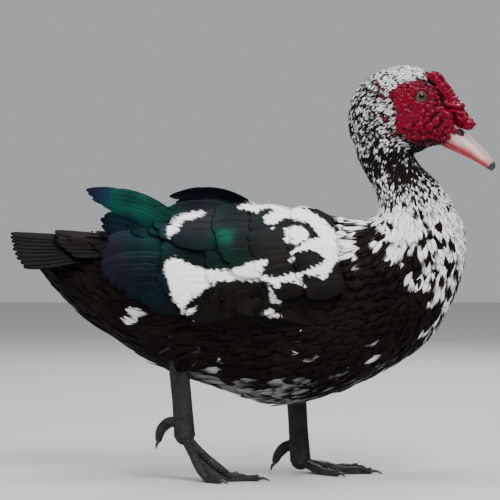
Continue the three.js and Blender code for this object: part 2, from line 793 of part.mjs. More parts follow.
function tierVanes({ count, roots, tips, width, base, lift, segments, face }, side) {
  const places = [];
  for (let i = 0; i < count; i++) {
    const share = i / (count - 1);
    places.push({
      root: roots[0].map((first, k) => THREE.MathUtils.lerp(first, roots[1][k], share)),
      tip: splineRow(tips, share * (tips.length - 1)),
    });
  }
  const [first, last] = [places[0], places.at(-1)];
  const [rootX, tipX] = ["root", "tip"].map((end) => (first[end][0] + last[end][0]) / 2);
  const along = (x) => (x - rootX) / (tipX - rootX);
  const rank = (x, z) => rankAmong(places.map((line) => lineAt(line, x)), z);
  return places.map(({ root, tip }, i) =>
    vane({
      place: (x, z, height) => overWing(x, z, height, side, face),
      root,
      tip,
      width,
      segments,
      height: (x, z) => base + (lift - base) * along(x) + VANE_STEP * (i - rank(x, z)),
      sunk: base - ROOT_LEVEL,
    })
  );
}

// The far wing is held a little open, so two of its long inner feathers stand above the back.
function raisedTertials(side) {
  const { arch, count, step, width, out } = RAISED_TERTIALS;
  const [start, end] = [arch[0][0], arch.at(-1)[0]];
  const vanes = [];
  for (let i = 0; i < count; i++) {
    const place = (x, v, height) => {
      const share = THREE.MathUtils.clamp((x - start) / (end - start), 0, 1);
      const [, z] = splineRow(arch, share * (arch.length - 1));
      const y = THREE.MathUtils.lerp(...out, Math.sqrt(share)) + step * i - 0.4 * v + 0.9 * height;
      return point(x, side * y, z - step * i + 0.9 * v + 0.4 * height);
    };
    const tip = [end + 6 * i, 0.01];
    vanes.push(
      vane({ place, root: [start, 0], tip, width, segments: 6, height: () => 0 })
    );
  }
  return vanes;
}

function wing(side) {
  const tiers = Object.values(WING_TIERS);
  const pieces = [wingCore(side), ...tiers.flatMap((tier) => tierVanes(tier, side))];
  if (side === LEFT) pieces.push(...raisedTertials(side));
  return largest(union(pieces).subtract(bodyWithGap));
}

// Tail: a tented fan whose middle feather lies highest, with coverts above and below its root.
function overTail(x, y, height) {
  const { start, end, droop } = TAIL_RIDGE;
  const ridge = start[1] + ((end[1] - start[1]) * (x - start[0])) / (end[0] - start[0]);
  return point(x, y, ridge - droop * Math.abs(y) ** 1.08 + height);
}

// Vanes on both sides of a middle one that lies on top. The next ones meet under it edge to edge.
function fan({ pairs, root, tip, round, width, above = 0 }, sunk) {
  const along = (x) => (x - root[0]) / (tip[0] - root[0]);
  const lines = [];
  for (let i = 0; i < pairs; i++) {
    lines.push({
      root: [root[0], THREE.MathUtils.lerp(width * 0.24, root[1], i / (pairs - 1))],
      tip: [
        tip[0] + round * ((i + 1) / pairs) ** 2,
        THREE.MathUtils.lerp(width * 0.52, tip[1], i / (pairs - 1)),
      ],
    });
  }
  const rank = (x, y) => rankAmong(lines.map((line) => lineAt(line, x)), Math.abs(y));
  const lift = (x) => above * Math.min(along(x) / 0.4, 1);
  const vanes = [vane({ place: overTail, root: [root[0], 0], tip: [tip[0], 0], width, height: lift, sunk })];
  for (const side of [RIGHT, LEFT]) {
    lines.forEach((line, i) => {
      vanes.push(
        vane({
          place: overTail,
          root: [line.root[0], side * line.root[1]],
          tip: [line.tip[0], side * line.tip[1]],
          width,
          height: (x, y) => lift(x) - 1.3 - 1.8 * along(x) + VANE_STEP * (rank(x, y) - i),
          sunk,
        })
      );
    });
  }
  return vanes;
}

// Undertail coverts lie along the body's underside and carry its outline out to the tail.
function undertail() {
  const { pairs, root, tip, spread, width } = UNDERTAIL_COVERTS;
  const perRing = 40; // millimetres of length for each ring of the body
  const perTurn = 34; // and for each radian round it
  const place = (u, v, height) => body.at(u / perRing, Math.PI + v / perTurn, height);
  const vanes = [];
  for (let i = -pairs; i <= pairs; i++) {
    const middle = Math.abs(i) * spread;
    vanes.push(
      vane({
        place,
        root: [root * perRing, i * spread],
        tip: [(tip + 0.12 * Math.abs(i)) * perRing, i * spread],
        width,
        height: (u, v) => (i === 0 ? 3.6 : 1.2 + (VANE_STEP * (Math.abs(v) - middle)) / spread),
        sunk: 6,
      })
    );
  }
  return vanes;
}

const tail = largest(
  between(
    union([tailRoot, ...fan(TAIL_FEATHERS, 4), ...fan(TAIL_COVERTS, 7), ...undertail()]),
    null,
    body.plane(TAIL_CUT)
  )
);

// Legs.
function toePath(leg, name) {
  const ankle = point(...leg.ankle);
  const [x, y] = leg.toes[name];
  const flat = TOE_RADIUS * 0.84;
  const lifted = ankle.z > 30;
  const places = [];
  for (const share of [0, 0.33, 0.62, 0.8, 1]) {
    const fall = lifted ? Math.max(1 - share / 0.66, 0) ** 1.25 : Math.max(1 - share / 0.6, 0);
    places.push(
      point(
        ankle.x + (x - ankle.x) * share,
        ankle.y + (y - ankle.y) * share,
        flat * (1 - 0.2 * share) + (ankle.z - flat) * fall
      )
    );
  }
  return curveThrough(places);
}

function toeRadius(t) {
  const pads = 0.35 * Math.cos(t * 6 * Math.PI);
  return TOE_RADIUS * (1.18 - 0.36 * t) + pads;
}

// The web between two toes, thin and with a hollow front edge.
function web(first, second) {
  const rows = 4;
  const columns = 3;
  const top = [];
  const bottom = [];
  for (let r = 0; r <= rows; r++) {
    for (let c = 0; c <= columns; c++) {
      const across = c / columns;
      const reach = 0.93 - 0.17 * Math.sin(Math.PI * across);
      const t = 0.06 + (reach - 0.06) * (r / rows);
      const at = first.getPoint(t).lerp(second.getPoint(t), across);
      const low = Math.max(at.z - 1.5 - 2 * Math.sin(Math.PI * across), 0.9);
      top.push(point(at.x, at.y, low + WEB_THICKNESS / 2));
      bottom.push(point(at.x, at.y, low - WEB_THICKNESS / 2));
    }
  }
  const vertices = [...top, ...bottom];
  const wide = columns + 1;
  const under = top.length;
  const triangles = [];
  for (let r = 0; r < rows; r++) {
    for (let c = 0; c < columns; c++) {
      const a = r * wide + c;
      const [b, d, e] = [a + 1, a + wide, a + wide + 1];
      triangles.push(a, b, e, a, e, d);
      triangles.push(under + a, under + e, under + b, under + a, under + d, under + e);
    }
  }
  const rim = [];
  for (let c = 0; c < columns; c++) rim.push(c);
  for (let r = 0; r < rows; r++) rim.push(r * wide + columns);
  for (let c = columns; c > 0; c--) rim.push(rows * wide + c);
  for (let r = rows; r > 0; r--) rim.push(r * wide);
  rim.forEach((a, i) => {
    const b = rim[(i + 1) % rim.length];
    triangles.push(a, under + a, b, b, under + a, under + b);
  });
  return solidOf(geometryOf(vertices, triangles));
}

// A horn claw that goes on from the end of a toe, and is parted from it by a thin cut.
function claw(path, length, drop) {
  const end = path.getPoint(1);
  const along = path.getTangent(1);
  const tip = end.clone().addScaledVector(along, length);
  tip.z = Math.max(end.z - drop, 0.6);
  const chord = tip.clone().sub(end).normalize();
  const arch = point(0, 0, 1).addScaledVector(chord, -chord.z).normalize();
  const middle = end.clone().lerp(tip, 0.5).addScaledVector(arch, CLAW_ARCH);
  const whole = tube({
    path: curveThrough([end.clone().addScaledVector(along, -2), end, middle, tip]),
    radius: (t) => 2.7 * (1 - t) ** 0.6 + 0.25,
    steps: 4,
    sides: 6,
  });
  const cut = { normal: along.toArray(), distance: along.dot(end) + GAP / 2 };
  return largest(between(whole, cut, null).trimByPlane([0, 0, 1], 0));
}

function legPieces(leg) {
  const hip = point(...leg.hip);
  const hock = point(...leg.hock);
  const ankle = point(...leg.ankle);
  const thigh = tube({
    path: curveThrough([hip, hip.clone().lerp(hock, 0.5), hock]),
    radius: (t) => THIGH_RADIUS * (1 - t) ** 0.8 + 10.5,
    steps: 6,
    sides: 14,
  });
  const shank = tube({
    path: curveThrough([hock.clone().lerp(hip, 0.12), hock, hock.clone().lerp(ankle, 0.5), ankle]),
    radius: (t) => SHANK_RADIUS + 2.2 * Math.abs(1 - 1.7 * t) ** 2,
    squash: SHANK_SQUASH,
    steps: 8,
    sides: 10,
  });
  const toes = Object.fromEntries(
    ["inner", "middle", "outer"].map((name) => [name, toePath(leg, name)])
  );
  const toeTubes = Object.values(toes).map((path) =>
    tube({ path, radius: toeRadius, steps: 7, sides: 6 })
  );
  const halluxPath = curveThrough(leg.hallux.map((p) => point(...p)));
  const hallux = tube({
    path: halluxPath,
    radius: (t) => 4.4 + 2.2 * Math.sin(Math.PI * t) - 1.2 * t,
    steps: 5,
    sides: 6,
  });
  const [ankleLength, ankleWidth, ankleHeight] = ANKLE_SIZE;
  const ankleSize = [ankleLength, ankleWidth, Math.min(ankleHeight, leg.ankle[2] - 1)];
  const joint = ball(leg.ankle, ankleSize, 0, 1);
  const webs = [web(toes.inner, toes.middle), web(toes.middle, toes.outer)];
  const whole = union([thigh, shank, joint, hallux, ...toeTubes, ...webs])
    .trimByPlane([0, 0, 1], 0)
    .subtract(bodyWithGap);
  const along = ankle.clone().sub(hock).normalize();
  const planeAt = (share, from, to) => {
    const at = from.clone().lerp(to, share);
    return { normal: along.toArray(), distance: along.dot(at) };
  };
  const kneePlane = planeAt(0.03, hock, ankle);
  const footPlane = planeAt(0.66, hock, ankle);
  return {
    thigh: largest(between(whole, null, kneePlane)),
    shank: largest(between(whole, kneePlane, footPlane)),
    foot: largest(between(whole, footPlane, null)),
    claws: {
      inner: claw(toes.inner, CLAW_LENGTH, 3),
      middle: claw(toes.middle, CLAW_LENGTH, 3),
      outer: claw(toes.outer, CLAW_LENGTH, 3),
      hallux: claw(halluxPath, CLAW_LENGTH * 0.8, 9),
    },
  };
}

// Materials, one for each kind of surface.
function material(red, green, blue, roughness) {
  return new THREE.MeshStandardMaterial({
    color: new THREE.Color(red, green, blue),
    roughness,
    metalness: 0,
  });
}
const FINISH = {
  brownBlack: material(0.035, 0.03, 0.028, 0.7),
  bottleGreen: material(0.02, 0.09, 0.085, 0.35),
  pied: material(0.42, 0.42, 0.41, 0.75),
  speckled: material(0.35, 0.35, 0.34, 0.75),
  redSkin: material(0.62, 0.03, 0.05, 0.4),
  billPink: material(0.78, 0.5, 0.47, 0.4),
  billRed: material(0.6, 0.2, 0.19, 0.45),
  slate: material(0.09, 0.1, 0.12, 0.5),
  eye: material(0.05, 0.035, 0.015, 0.08),
  webSkin: material(0.09, 0.095, 0.105, 0.6),
  horn: material(0.12, 0.11, 0.1, 0.4),
};

// A mesh whose geometry is measured from its own pivot.
function piece(name, solid, finish, pivot) {
  const { vertProperties, triVerts, numProp, numVert } = solid.getMesh();
  const positions = new Float32Array(numVert * 3);
  for (let i = 0; i < numVert; i++) {
    for (let k = 0; k < 3; k++) {
      positions[i * 3 + k] = vertProperties[i * numProp + k] - pivot.getComponent(k);
    }
  }
  const geometry = new THREE.BufferGeometry();
  geometry.setAttribute("position", new THREE.BufferAttribute(positions, 3));
  geometry.setIndex(new THREE.BufferAttribute(new Uint32Array(triVerts), 1));
  geometry.computeVertexNormals();
  const mesh = new THREE.Mesh(geometry, finish);
  mesh.name = name;
  mesh.position.copy(pivot);
  return mesh;
}

const duck = new THREE.Group();
const trunk = new THREE.Group();
trunk.add(piece("torso", torso, FINISH.brownBlack, point(0, 0, 190)));
trunk.add(piece("neck", neck, FINISH.pied, point(170, 0, 330)));
trunk.add(piece("tail", tail, FINISH.brownBlack, point(-150, 0, 240)));
duck.add(trunk);

// Everything on the head hangs in one group, turned about the top of the neck.
const headGroup = new THREE.Group();
headGroup.applyMatrix4(headTurn);
headGroup.add(piece("head", head, FINISH.speckled, HEAD_PIVOT));
headGroup.add(piece("face", face, FINISH.redSkin, HEAD_PIVOT));
headGroup.add(piece("bill_upper", billUpper, FINISH.billPink, point(237, 0, 392)));
headGroup.add(piece("bill_lower", billLower, FINISH.billRed, point(237, 0, 378)));
headGroup.add(piece("bill_nail", billNail, FINISH.slate, point(277, 0, 358)));
for (const [name, side] of [
  ["right", RIGHT],
  ["left", LEFT],
]) {
  const ball = eyeBall(side, EYE_RADIUS);
  headGroup.add(piece(`eye_${name}`, ball, FINISH.eye, eyeCenter(side)));
}
duck.add(headGroup);

for (const [name, side] of [
  ["right", RIGHT],
  ["left", LEFT],
]) {
  duck.add(piece(`wing_${name}`, wing(side), FINISH.bottleGreen, point(90, side * 80, 250)));
  const leg = LEGS[name];
  const { thigh, shank, foot, claws } = legPieces(leg);
  const legGroup = new THREE.Group();
  legGroup.add(piece(`thigh_${name}`, thigh, FINISH.brownBlack, point(...leg.hip)));
  legGroup.add(piece(`shank_${name}`, shank, FINISH.webSkin, point(...leg.hock)));
  legGroup.add(piece(`foot_${name}`, foot, FINISH.webSkin, point(...leg.ankle)));
  for (const [toe, solid] of Object.entries(claws)) {
    legGroup.add(piece(`claw_${name}_${toe}`, solid, FINISH.horn, point(...leg.ankle)));
  }
  duck.add(legGroup);
}

// The origin goes under the middle of the bird's box.
const box = new THREE.Box3().setFromObject(duck, true);
const middle = box.getCenter(new THREE.Vector3());
duck.position.set(-middle.x, -middle.y, -box.min.z);

export default duck;
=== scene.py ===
import math

import bmesh
import bpy
import numpy as np
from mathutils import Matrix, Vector
from mathutils.kdtree import KDTree


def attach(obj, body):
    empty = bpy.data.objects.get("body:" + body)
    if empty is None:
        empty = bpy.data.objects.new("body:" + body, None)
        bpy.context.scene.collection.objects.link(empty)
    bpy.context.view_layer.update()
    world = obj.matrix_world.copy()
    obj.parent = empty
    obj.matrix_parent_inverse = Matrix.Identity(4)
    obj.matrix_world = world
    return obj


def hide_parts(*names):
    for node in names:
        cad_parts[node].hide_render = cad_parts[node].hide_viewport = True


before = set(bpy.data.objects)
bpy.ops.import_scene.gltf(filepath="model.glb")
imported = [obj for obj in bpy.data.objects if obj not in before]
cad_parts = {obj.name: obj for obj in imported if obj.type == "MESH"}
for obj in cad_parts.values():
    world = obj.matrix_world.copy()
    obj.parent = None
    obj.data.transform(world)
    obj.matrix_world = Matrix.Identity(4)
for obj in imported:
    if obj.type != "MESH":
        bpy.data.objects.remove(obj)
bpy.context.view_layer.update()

# Skin. The whole bird under its feathers is one closed skin, from the tail root over the trunk, the
# thighs and the neck to the head. It is lofted through the same rings as the solids, drawn in by
# the depth of the coat, and its parts are melted together.
MM = 0.001
PHOTO_MIDDLE = (251.5, 476.5)
PHOTO_SCALE = 1.15 * MM
TRUNK_RINGS = (
    # back x and z, belly x and z, half width, from the tail root to the top of the neck
    (-251, 271, -256, 257, 9),
    (-208, 279, -222, 213, 33),
    (-169, 282, -186, 177, 46),
    (-129, 286, -145, 148, 60),
    (-77, 292, -97, 121, 74),
    (-20, 298, -33, 97, 83),
    (38, 302, 38, 81, 87),
    (84, 302, 107, 98, 86),
    (113, 300, 164, 126, 81),
    (130, 300, 205, 157, 73),
    (139, 303, 232, 199, 63),
    (143, 310, 246, 244, 54),
    (142, 322, 246, 281, 45),
    (137, 335, 234, 312, 38),
    (128, 352, 215, 338, 32),
    (119, 372, 195, 358, 29),
    (115, 398, 184, 378, 27),
)
TRUNK_FULLNESS = 2.3
HEAD_RINGS = (
    (113, 412, 113, 400, 5),
    (114, 426, 118, 384, 16),
    (121, 445, 136, 369, 24),
    (142, 464, 160, 364, 28),
    (170, 473, 181, 368, 29.5),
    (193, 471, 195, 373, 28),
    (211, 461, 206, 378, 24),
    (224, 446, 212, 380, 20),
    (231, 427, 215, 381, 17),
    (237, 407, 218, 381.5, 14.5),
)
HEAD_FULLNESS = 2.15
HEAD_PIVOT = np.array((153, 0, 385)) * MM
HEAD_TURN = math.radians(-14)
HEAD_TILT = math.radians(4)
NECK_TWIST = (318 * MM, 390 * MM)
THIGHS = (
    # hip, hock and the radius at each, for the right and the left leg
    ((-52, -43, 176), (-82, -49, 129), 34, 8),
    ((30, 43, 158), (52, 42, 88), 34, 8),
)
COAT_DEPTH = ((0, 1), (1, 3), (3, 5), (10, 5), (12, 4), (14, 3), (16, 2.4))  # at rows of the trunk
HEAD_COAT = 2.2
SKIN_VOXEL = 2.6


def seen(px, py):
    """A place in the photo, in its pixels, as the x and z of the bird's side view."""
    return (px - PHOTO_MIDDLE[0]) * PHOTO_SCALE, (PHOTO_MIDDLE[1] - py) * PHOTO_SCALE


def between_rows(rows, t):
    """A smooth curve through rows of numbers, where t counts rows."""
    rows = np.asarray(rows, float)
    t = np.asarray(t, float)
    i = np.clip(np.floor(t).astype(int), 0, len(rows) - 2)
    f = (t - i)[..., None]
    a = rows[np.maximum(i - 1, 0)]
    b = rows[i]
    c = rows[i + 1]
    d = rows[np.minimum(i + 2, len(rows) - 1)]
    square = (2 * a - 5 * b + 4 * c - d) * f**2
    cube = (3 * b - a - 3 * c + d) * f**3
    return 0.5 * (2 * b + (c - a) * f + square + cube)


def ring_points(rings, fullness, t, angle, grow=0.0):
    """Points on a loft. Angle 0 is the back and a quarter turn is the left side."""
    back_x, back_z, belly_x, belly_z, half = np.moveaxis(between_rows(rings, t), -1, 0) * MM
    up_x, up_z = back_x - belly_x, back_z - belly_z
    height = np.hypot(up_x, up_z)
    power = 2 / fullness
    rise = np.sign(np.cos(angle)) * np.abs(np.cos(angle)) ** power * (height / 2 + grow)
    out = np.sign(np.sin(angle)) * np.abs(np.sin(angle)) ** power * (half + grow)
    x = (back_x + belly_x) / 2 + up_x / height * rise
    z = (back_z + belly_z) / 2 + up_z / height * rise
    return np.stack([x, out, z], axis=-1)


def rotated(points, angle, axis):
    """Points turned about the head's pivot, round X (0) or Z (2), by an angle for each."""
    arm = points - HEAD_PIVOT
    first, second = ((1, 2) if axis == 0 else (0, 1))
    result = arm.copy()
    result[..., first] = arm[..., first] * np.cos(angle) - arm[..., second] * np.sin(angle)
    result[..., second] = arm[..., first] * np.sin(angle) + arm[..., second] * np.cos(angle)
    return result + HEAD_PIVOT


def smooth_share(value, low, high):
    """From 0 at low to 1 at high, easing in and out."""
    share = np.clip((value - low) / (high - low), 0, 1)
    return share * share * (3 - 2 * share)


def trunk_points(t, angle, grow=0.0):
    points = ring_points(TRUNK_RINGS, TRUNK_FULLNESS, t, angle, grow)
    return rotated(points, HEAD_TURN * smooth_share(points[..., 2], *NECK_TWIST), 2)


def turned_head(points):
    """Takes points of the straight head to where the bird looks."""
    return rotated(rotated(np.asarray(points, float), HEAD_TILT, 0), HEAD_TURN, 2)


def head_points(t, angle, grow=0.0):
    return turned_head(ring_points(HEAD_RINGS, HEAD_FULLNESS, t, angle, grow))


def closed_grid(points):
    """Places and faces of a tube of points, rings by sides, with a fan over each end."""
    rings, sides = points.shape[:2]
    index = np.arange(rings * sides).reshape(rings, sides)
    after = np.roll(index, -1, axis=1)
    quads = np.stack([index[:-1], index[1:], after[1:], after[:-1]], axis=-1).reshape(-1, 4)
    first_hub, last_hub = rings * sides, rings * sides + 1
    ends = [(first_hub, a, b) for a, b in zip(index[0].tolist(), after[0].tolist())]
    ends += [(last_hub, b, a) for a, b in zip(index[-1].tolist(), after[-1].tolist())]
    places = np.concatenate([points.reshape(-1, 3), [points[0].mean(0)], [points[-1].mean(0)]])
    return places, [tuple(q) for q in quads.tolist()] + ends


def joined(name, parts):
    """One object of parts, each with its places and faces."""
    places, faces, start = [], [], 0
    for more, its_faces in parts:
        places.append(more)
        faces += [tuple(k + start for k in f) for f in its_faces]
        start += len(more)
    mesh = bpy.data.meshes.new(name)
    mesh.from_pydata(np.concatenate(places).tolist(), [], faces)
    mesh.update()
    mesh.polygons.foreach_set("use_smooth", [True] * len(mesh.polygons))
    made = bpy.data.objects.new(name, mesh)
    bpy.context.scene.collection.objects.link(made)
    return made


def turn_faces_out(mesh):
    """Recalculates the normals of a closed mesh, so that its faces point outwards."""
    work = bmesh.new()
    work.from_mesh(mesh)
    bmesh.ops.recalc_face_normals(work, faces=work.faces)
    work.to_mesh(mesh)
    work.free()


def keep_largest(mesh):
    """Takes away the loose crumbs that melting leaves beside the one large body."""
    ends = np.empty(len(mesh.edges) * 2, np.int32)
    mesh.edges.foreach_get("vertices", ends)
    a, b = ends.reshape(-1, 2).T
    body = np.arange(len(mesh.vertices))
    while True:
        low = np.minimum(body[a], body[b])
        after = body.copy()
        np.minimum.at(after, a, low)
        np.minimum.at(after, b, low)
        after = after[after]
        if (after == body).all():
            break
        body = after
    largest = np.bincount(body).argmax()
    work = bmesh.new()
    work.from_mesh(mesh)
    crumbs = [vertex for vertex, part in zip(work.verts, body) if part != largest]
    bmesh.ops.delete(work, geom=crumbs, context="VERTS")
    work.to_mesh(mesh)
    work.free()


def settled(made):
    """Turns what an object's modifiers make into its own plain mesh."""
    view = bpy.context.evaluated_depsgraph_get()
    mesh = bpy.data.meshes.new_from_object(made.evaluated_get(view))
    made.modifiers.clear()
    old = made.data
    made.data = mesh
    bpy.data.meshes.remove(old)
    return mesh


def melted(made, voxel, smoothing):
    """Joins an object's overlapping shells into one closed, smoothed skin."""
    turn_faces_out(made.data)
    remesh = made.modifiers.new("melt", "REMESH")
    remesh.mode = "VOXEL"
    remesh.voxel_size = voxel * MM
    relax = made.modifiers.new("relax", "SMOOTH")
    relax.factor = 0.5
    relax.iterations = smoothing
    mesh = settled(made)
    keep_largest(mesh)
    mesh.polygons.foreach_set("use_smooth", [True] * len(mesh.polygons))


def skin_tube(start, end, radius_start, radius_end, rings=10, sides=20):
    """A tapering round tube between two places."""
    start, end = np.array(start) * MM, np.array(end) * MM
    along = (end - start) / np.linalg.norm(end - start)
    side = np.cross(along, (0, 1, 0))
    side /= np.linalg.norm(side)
    other = np.cross(along, side)
    share = np.linspace(0, 1, rings)[:, None]
    angle = np.linspace(0, 2 * np.pi, sides, endpoint=False)[None, :]
    radius = (radius_end + (radius_start - radius_end) * (1 - share) ** 0.8) * MM
    round_it = np.cos(angle)[..., None] * side + np.sin(angle)[..., None] * other
    return start + share[..., None] * (end - start) + radius[..., None] * round_it


def loft_grid(start, end, rings, sides):
    """The rows of a loft and the angles round it, for each point of a grid."""
    around = np.linspace(0, 2 * np.pi, sides, endpoint=False)
    return np.meshgrid(np.linspace(start, end, rings), around, indexing="ij")


trunk_t, trunk_a = loft_grid(0, len(TRUNK_RINGS) - 1, 190, 90)
trunk_depth = np.interp(trunk_t, *np.array(COAT_DEPTH).T) * MM
trunk_shell = trunk_points(trunk_t, -trunk_a, -trunk_depth)
head_t, head_a = loft_grid(0, len(HEAD_RINGS) - 1, 70, 60)
head_shell = head_points(head_t, -head_a, -HEAD_COAT * MM)
skin_shells = [trunk_shell, head_shell] + [skin_tube(*thigh) for thigh in THIGHS]
skin = joined("skin", [closed_grid(shell) for shell in skin_shells])
melted(skin, SKIN_VOXEL, smoothing=5)

# Plumage map. Small body feathers lie back from the bill over the head, down the neck and breast
# and back along the trunk. Each guide below names a place in the side view and what holds there.
# Between them the values run smoothly, so skin and feathers read the same lie, size and markings.
GUIDES = np.array(
    (
        # photo x and y, lie x and z, spacing of the feathers in mm, share of white, blotch in mm
        (405, 70, -1, 0.05, 2.3, 0.8, 2.6),
        (380, 72, -1, -0.15, 2.4, 0.64, 2.6),
        (362, 88, -0.7, -0.7, 2.5, 0.36, 2.6),
        (354, 108, -0.4, -1, 2.6, 0.3, 2.4),
        (434, 72, -0.9, 0.5, 2, 0.3, 3),
        (445, 84, -0.6, 0.8, 2, 0, 3),
        (385, 108, -1, -0.2, 2.4, 0.72, 3.4),
        (368, 124, -0.7, -0.7, 2.5, 0.36, 2.4),
        (400, 138, -0.9, -0.4, 2.3, 0.42, 2.6),
        (420, 148, -0.9, -0.45, 2.3, 0.12, 2.4),
        (392, 158, -0.3, -1, 2.6, 0.13, 2.4),
        (358, 140, -0.2, -1, 2.7, 0.32, 2.4),
        (372, 170, 0, -1, 2.8, 0.17, 2.4),
        (400, 178, 0.15, -1, 2.9, 0.1, 2.4),
        (425, 172, 0.6, -0.8, 2.8, 0.18, 2.4),
        (366, 194, -0.1, -1, 3.2, 0.3, 3.4),
        (385, 203, 0, -1, 3.6, 0.5, 4),
        (415, 200, 0.3, -1, 3.6, 0.56, 4),
        (447, 196, 0.4, -0.9, 3.6, 0.7, 5),
        (372, 214, -0.5, -0.85, 4.4, 0.95, 7),
        (400, 222, 0, -1, 5, 1, 8),
        (442, 214, 0.2, -1, 4.8, 0.97, 7),
        (430, 232, 0.2, -1, 5, 0.55, 8),
        (459, 228, 0.1, -1, 4.6, 0.85, 6),
        (350, 213, -0.9, -0.4, 4.6, 0.55, 7),
        (385, 240, -0.6, -0.8, 5.4, 0.66, 8),
        (418, 246, -0.1, -1, 5.4, 0.45, 8),
        (460, 256, -0.15, -1, 5, 0.85, 8),
        (408, 262, -0.6, -0.8, 5.8, 0.16, 8),
        (444, 276, -0.4, -0.9, 5.6, 0.66, 9),
        (446, 296, -0.6, -0.8, 5.8, 0.42, 8),
        (425, 312, -0.75, -0.65, 6, 0.1, 8),
        (330, 207, -1, 0, 6, 0.2, 9),
        (362, 235, -0.9, -0.4, 6, 0.1, 9),
        (300, 206, -1, 0, 7, 0, 8),
        (230, 206, -1, 0, 7.4, 0, 8),
        (150, 215, -1, 0.02, 7.4, 0, 8),
        (60, 226, -1, 0.02, 7, 0, 8),
        (370, 264, -0.93, -0.38, 6.2, 0, 8),
        (362, 290, -0.95, -0.3, 6.4, 0, 8),
        (394, 298, -0.85, -0.5, 6.2, 0, 8),
        (382, 322, -0.95, -0.35, 6.4, 0, 8),
        (330, 280, -1, -0.2, 6.8, 0, 8),
        (250, 300, -1, -0.12, 7.4, 0, 8),
        (180, 300, -1, 0, 7.4, 0, 8),
        (400, 345, -0.85, -0.5, 6.2, 0.14, 5),
        (360, 374, -0.95, -0.25, 6.4, 0.24, 5),
        (345, 330, -0.97, -0.3, 6.8, 0, 5),
        (320, 352, -1, -0.2, 6.6, 0.07, 5),
        (320, 396, -1, 0, 6.4, 0.2, 5),
        (262, 394, -1, 0.05, 6.4, 0.82, 6),
        (290, 392, -1, 0, 6.4, 0.66, 5),
        (262, 372, -1, 0, 6.8, 0, 6),
        (235, 388, -1, 0.1, 6.4, 0.72, 6),
        (212, 384, -1, 0.1, 6.4, 0.55, 6),
        (232, 368, -1, 0, 6.8, 0, 6),
        (292, 368, -1, -0.1, 6.8, 0, 6),
        (262, 345, -1, -0.1, 7, 0, 6),
        (200, 350, -1, 0.05, 7.4, 0, 6),
        (165, 365, -0.85, 0.5, 7, 0, 6),
        (130, 345, -0.85, 0.45, 7.4, 0, 8),
        (90, 310, -0.75, 0.62, 7.4, 0, 8),
        (50, 275, -0.75, 0.62, 7, 0, 8),
        (100, 260, -1, 0.25, 7.4, 0, 8),
    ),
    float,
)
GUIDE_X, GUIDE_Z = seen(GUIDES[:, 0], GUIDES[:, 1])
BLACK_DOWN = (0.0048, 0.0037, 0.0032)
WHITE_DOWN = (0.93, 0.93, 0.92)
BROWN_TINT = (1.25, 1.0, 0.92)
# Painted shade under the belly: the height where it begins, and over how much it deepens.
BELLY_SHADE_TOP = 0.142
BELLY_SHADE_FADE = 24 * MM
GUIDE_BLUR = 2 * MM
FINE_FLECK, MIDDLE_FLECK, COARSE_FLECK = 2.2 * MM, 4.5 * MM, 9 * MM
WHITE_LIMITS = (
    # share of white, and the height of the noise up to which a place is white
    (0, 0.08, 0.25, 0.5, 0.75, 0.96, 1),
    (-9, -2.6, -0.85, 0, 0.9, 2.6, 9),
)
WHITE_MARKS = (
    # outlines in the photo's pixels: rear crescent, top, shoulder, its middle, long patch and flecks
    (
        (168, 235), (167.5, 228), (172, 222), (176, 217), (184, 213.5), (193, 211.5), (203, 211),
        (204, 214), (197, 217), (190, 218), (183, 220.5), (179.5, 225), (180, 229), (176, 231.5),
    ),
    ((238, 206), (246, 203), (264, 202), (272, 206), (260, 208), (257, 212), (250, 210), (243, 208)),
    (
        (263, 216), (268, 212), (274, 210), (268, 203), (282, 203), (298, 205), (310, 210), (320, 218),
        (329, 226), (341, 237), (351, 246), (355, 250), (354, 257), (350, 262), (346, 256), (338, 257),
        (332, 262), (330, 268), (321, 277), (318, 272), (308, 274), (302, 270), (305, 266), (312, 264),
        (320, 260), (324, 256), (317, 252), (312, 247), (300, 248), (290, 251), (296, 246), (304, 240),
        (312, 238), (319, 236), (313, 226), (305, 221), (296, 217), (284, 216), (278, 221), (272, 225),
        (266, 222),
    ),
    ((283, 239), (286, 230), (285, 226), (296, 224), (302, 226), (308, 232), (306, 236), (296, 240)),
    ((288, 255), (293, 253), (294, 257), (290, 259)),
    (
        (166, 262), (168, 256), (176, 255), (184, 258), (193, 263), (205, 267), (220, 268), (240, 265),
        (250, 260), (266, 257), (267, 260), (262, 264), (264, 268), (258, 272), (266, 277), (250, 277),
        (236, 276), (222, 276), (212, 280), (208, 286), (198, 291), (190, 297), (187, 303), (186, 311),
        (193, 320), (188, 317), (181, 306), (180, 300), (174, 297), (171, 284), (168, 272),
    ),
    ((186, 309), (190, 305), (198, 303), (195, 308), (188, 311)),
    (
        (262, 272), (275, 273), (290, 270), (304, 268), (301, 276), (304, 283), (296, 283), (292, 278),
        (280, 279), (279, 285), (272, 281), (265, 277),
    ),
    ((267, 279), (273, 288), (280, 299), (272, 297), (268, 292), (271, 289)),
    ((263, 311), (268, 306), (273, 307), (280, 313), (270, 314)),
    ((124, 317), (125, 308), (131, 304), (138, 307), (138, 316), (132, 322), (127, 322)),
    ((81, 229), (86, 222), (94, 220), (103, 223), (106, 228), (94, 231)),
)
FAR_SIDE_SHIFT = -5
MARKS_OFF_BACK = (38, 18)  # from the middle, and how softly they end
RUMP_X = -130


def guided(points):
    """The guides' values at places in the side view, nearer guides counting for more."""
    away = np.hypot(points[:, None, 0] - GUIDE_X, points[:, None, 2] - GUIDE_Z)
    weight = 1 / (away + GUIDE_BLUR) ** 3
    return weight @ GUIDES[:, 2:] / weight.sum(axis=1, keepdims=True)


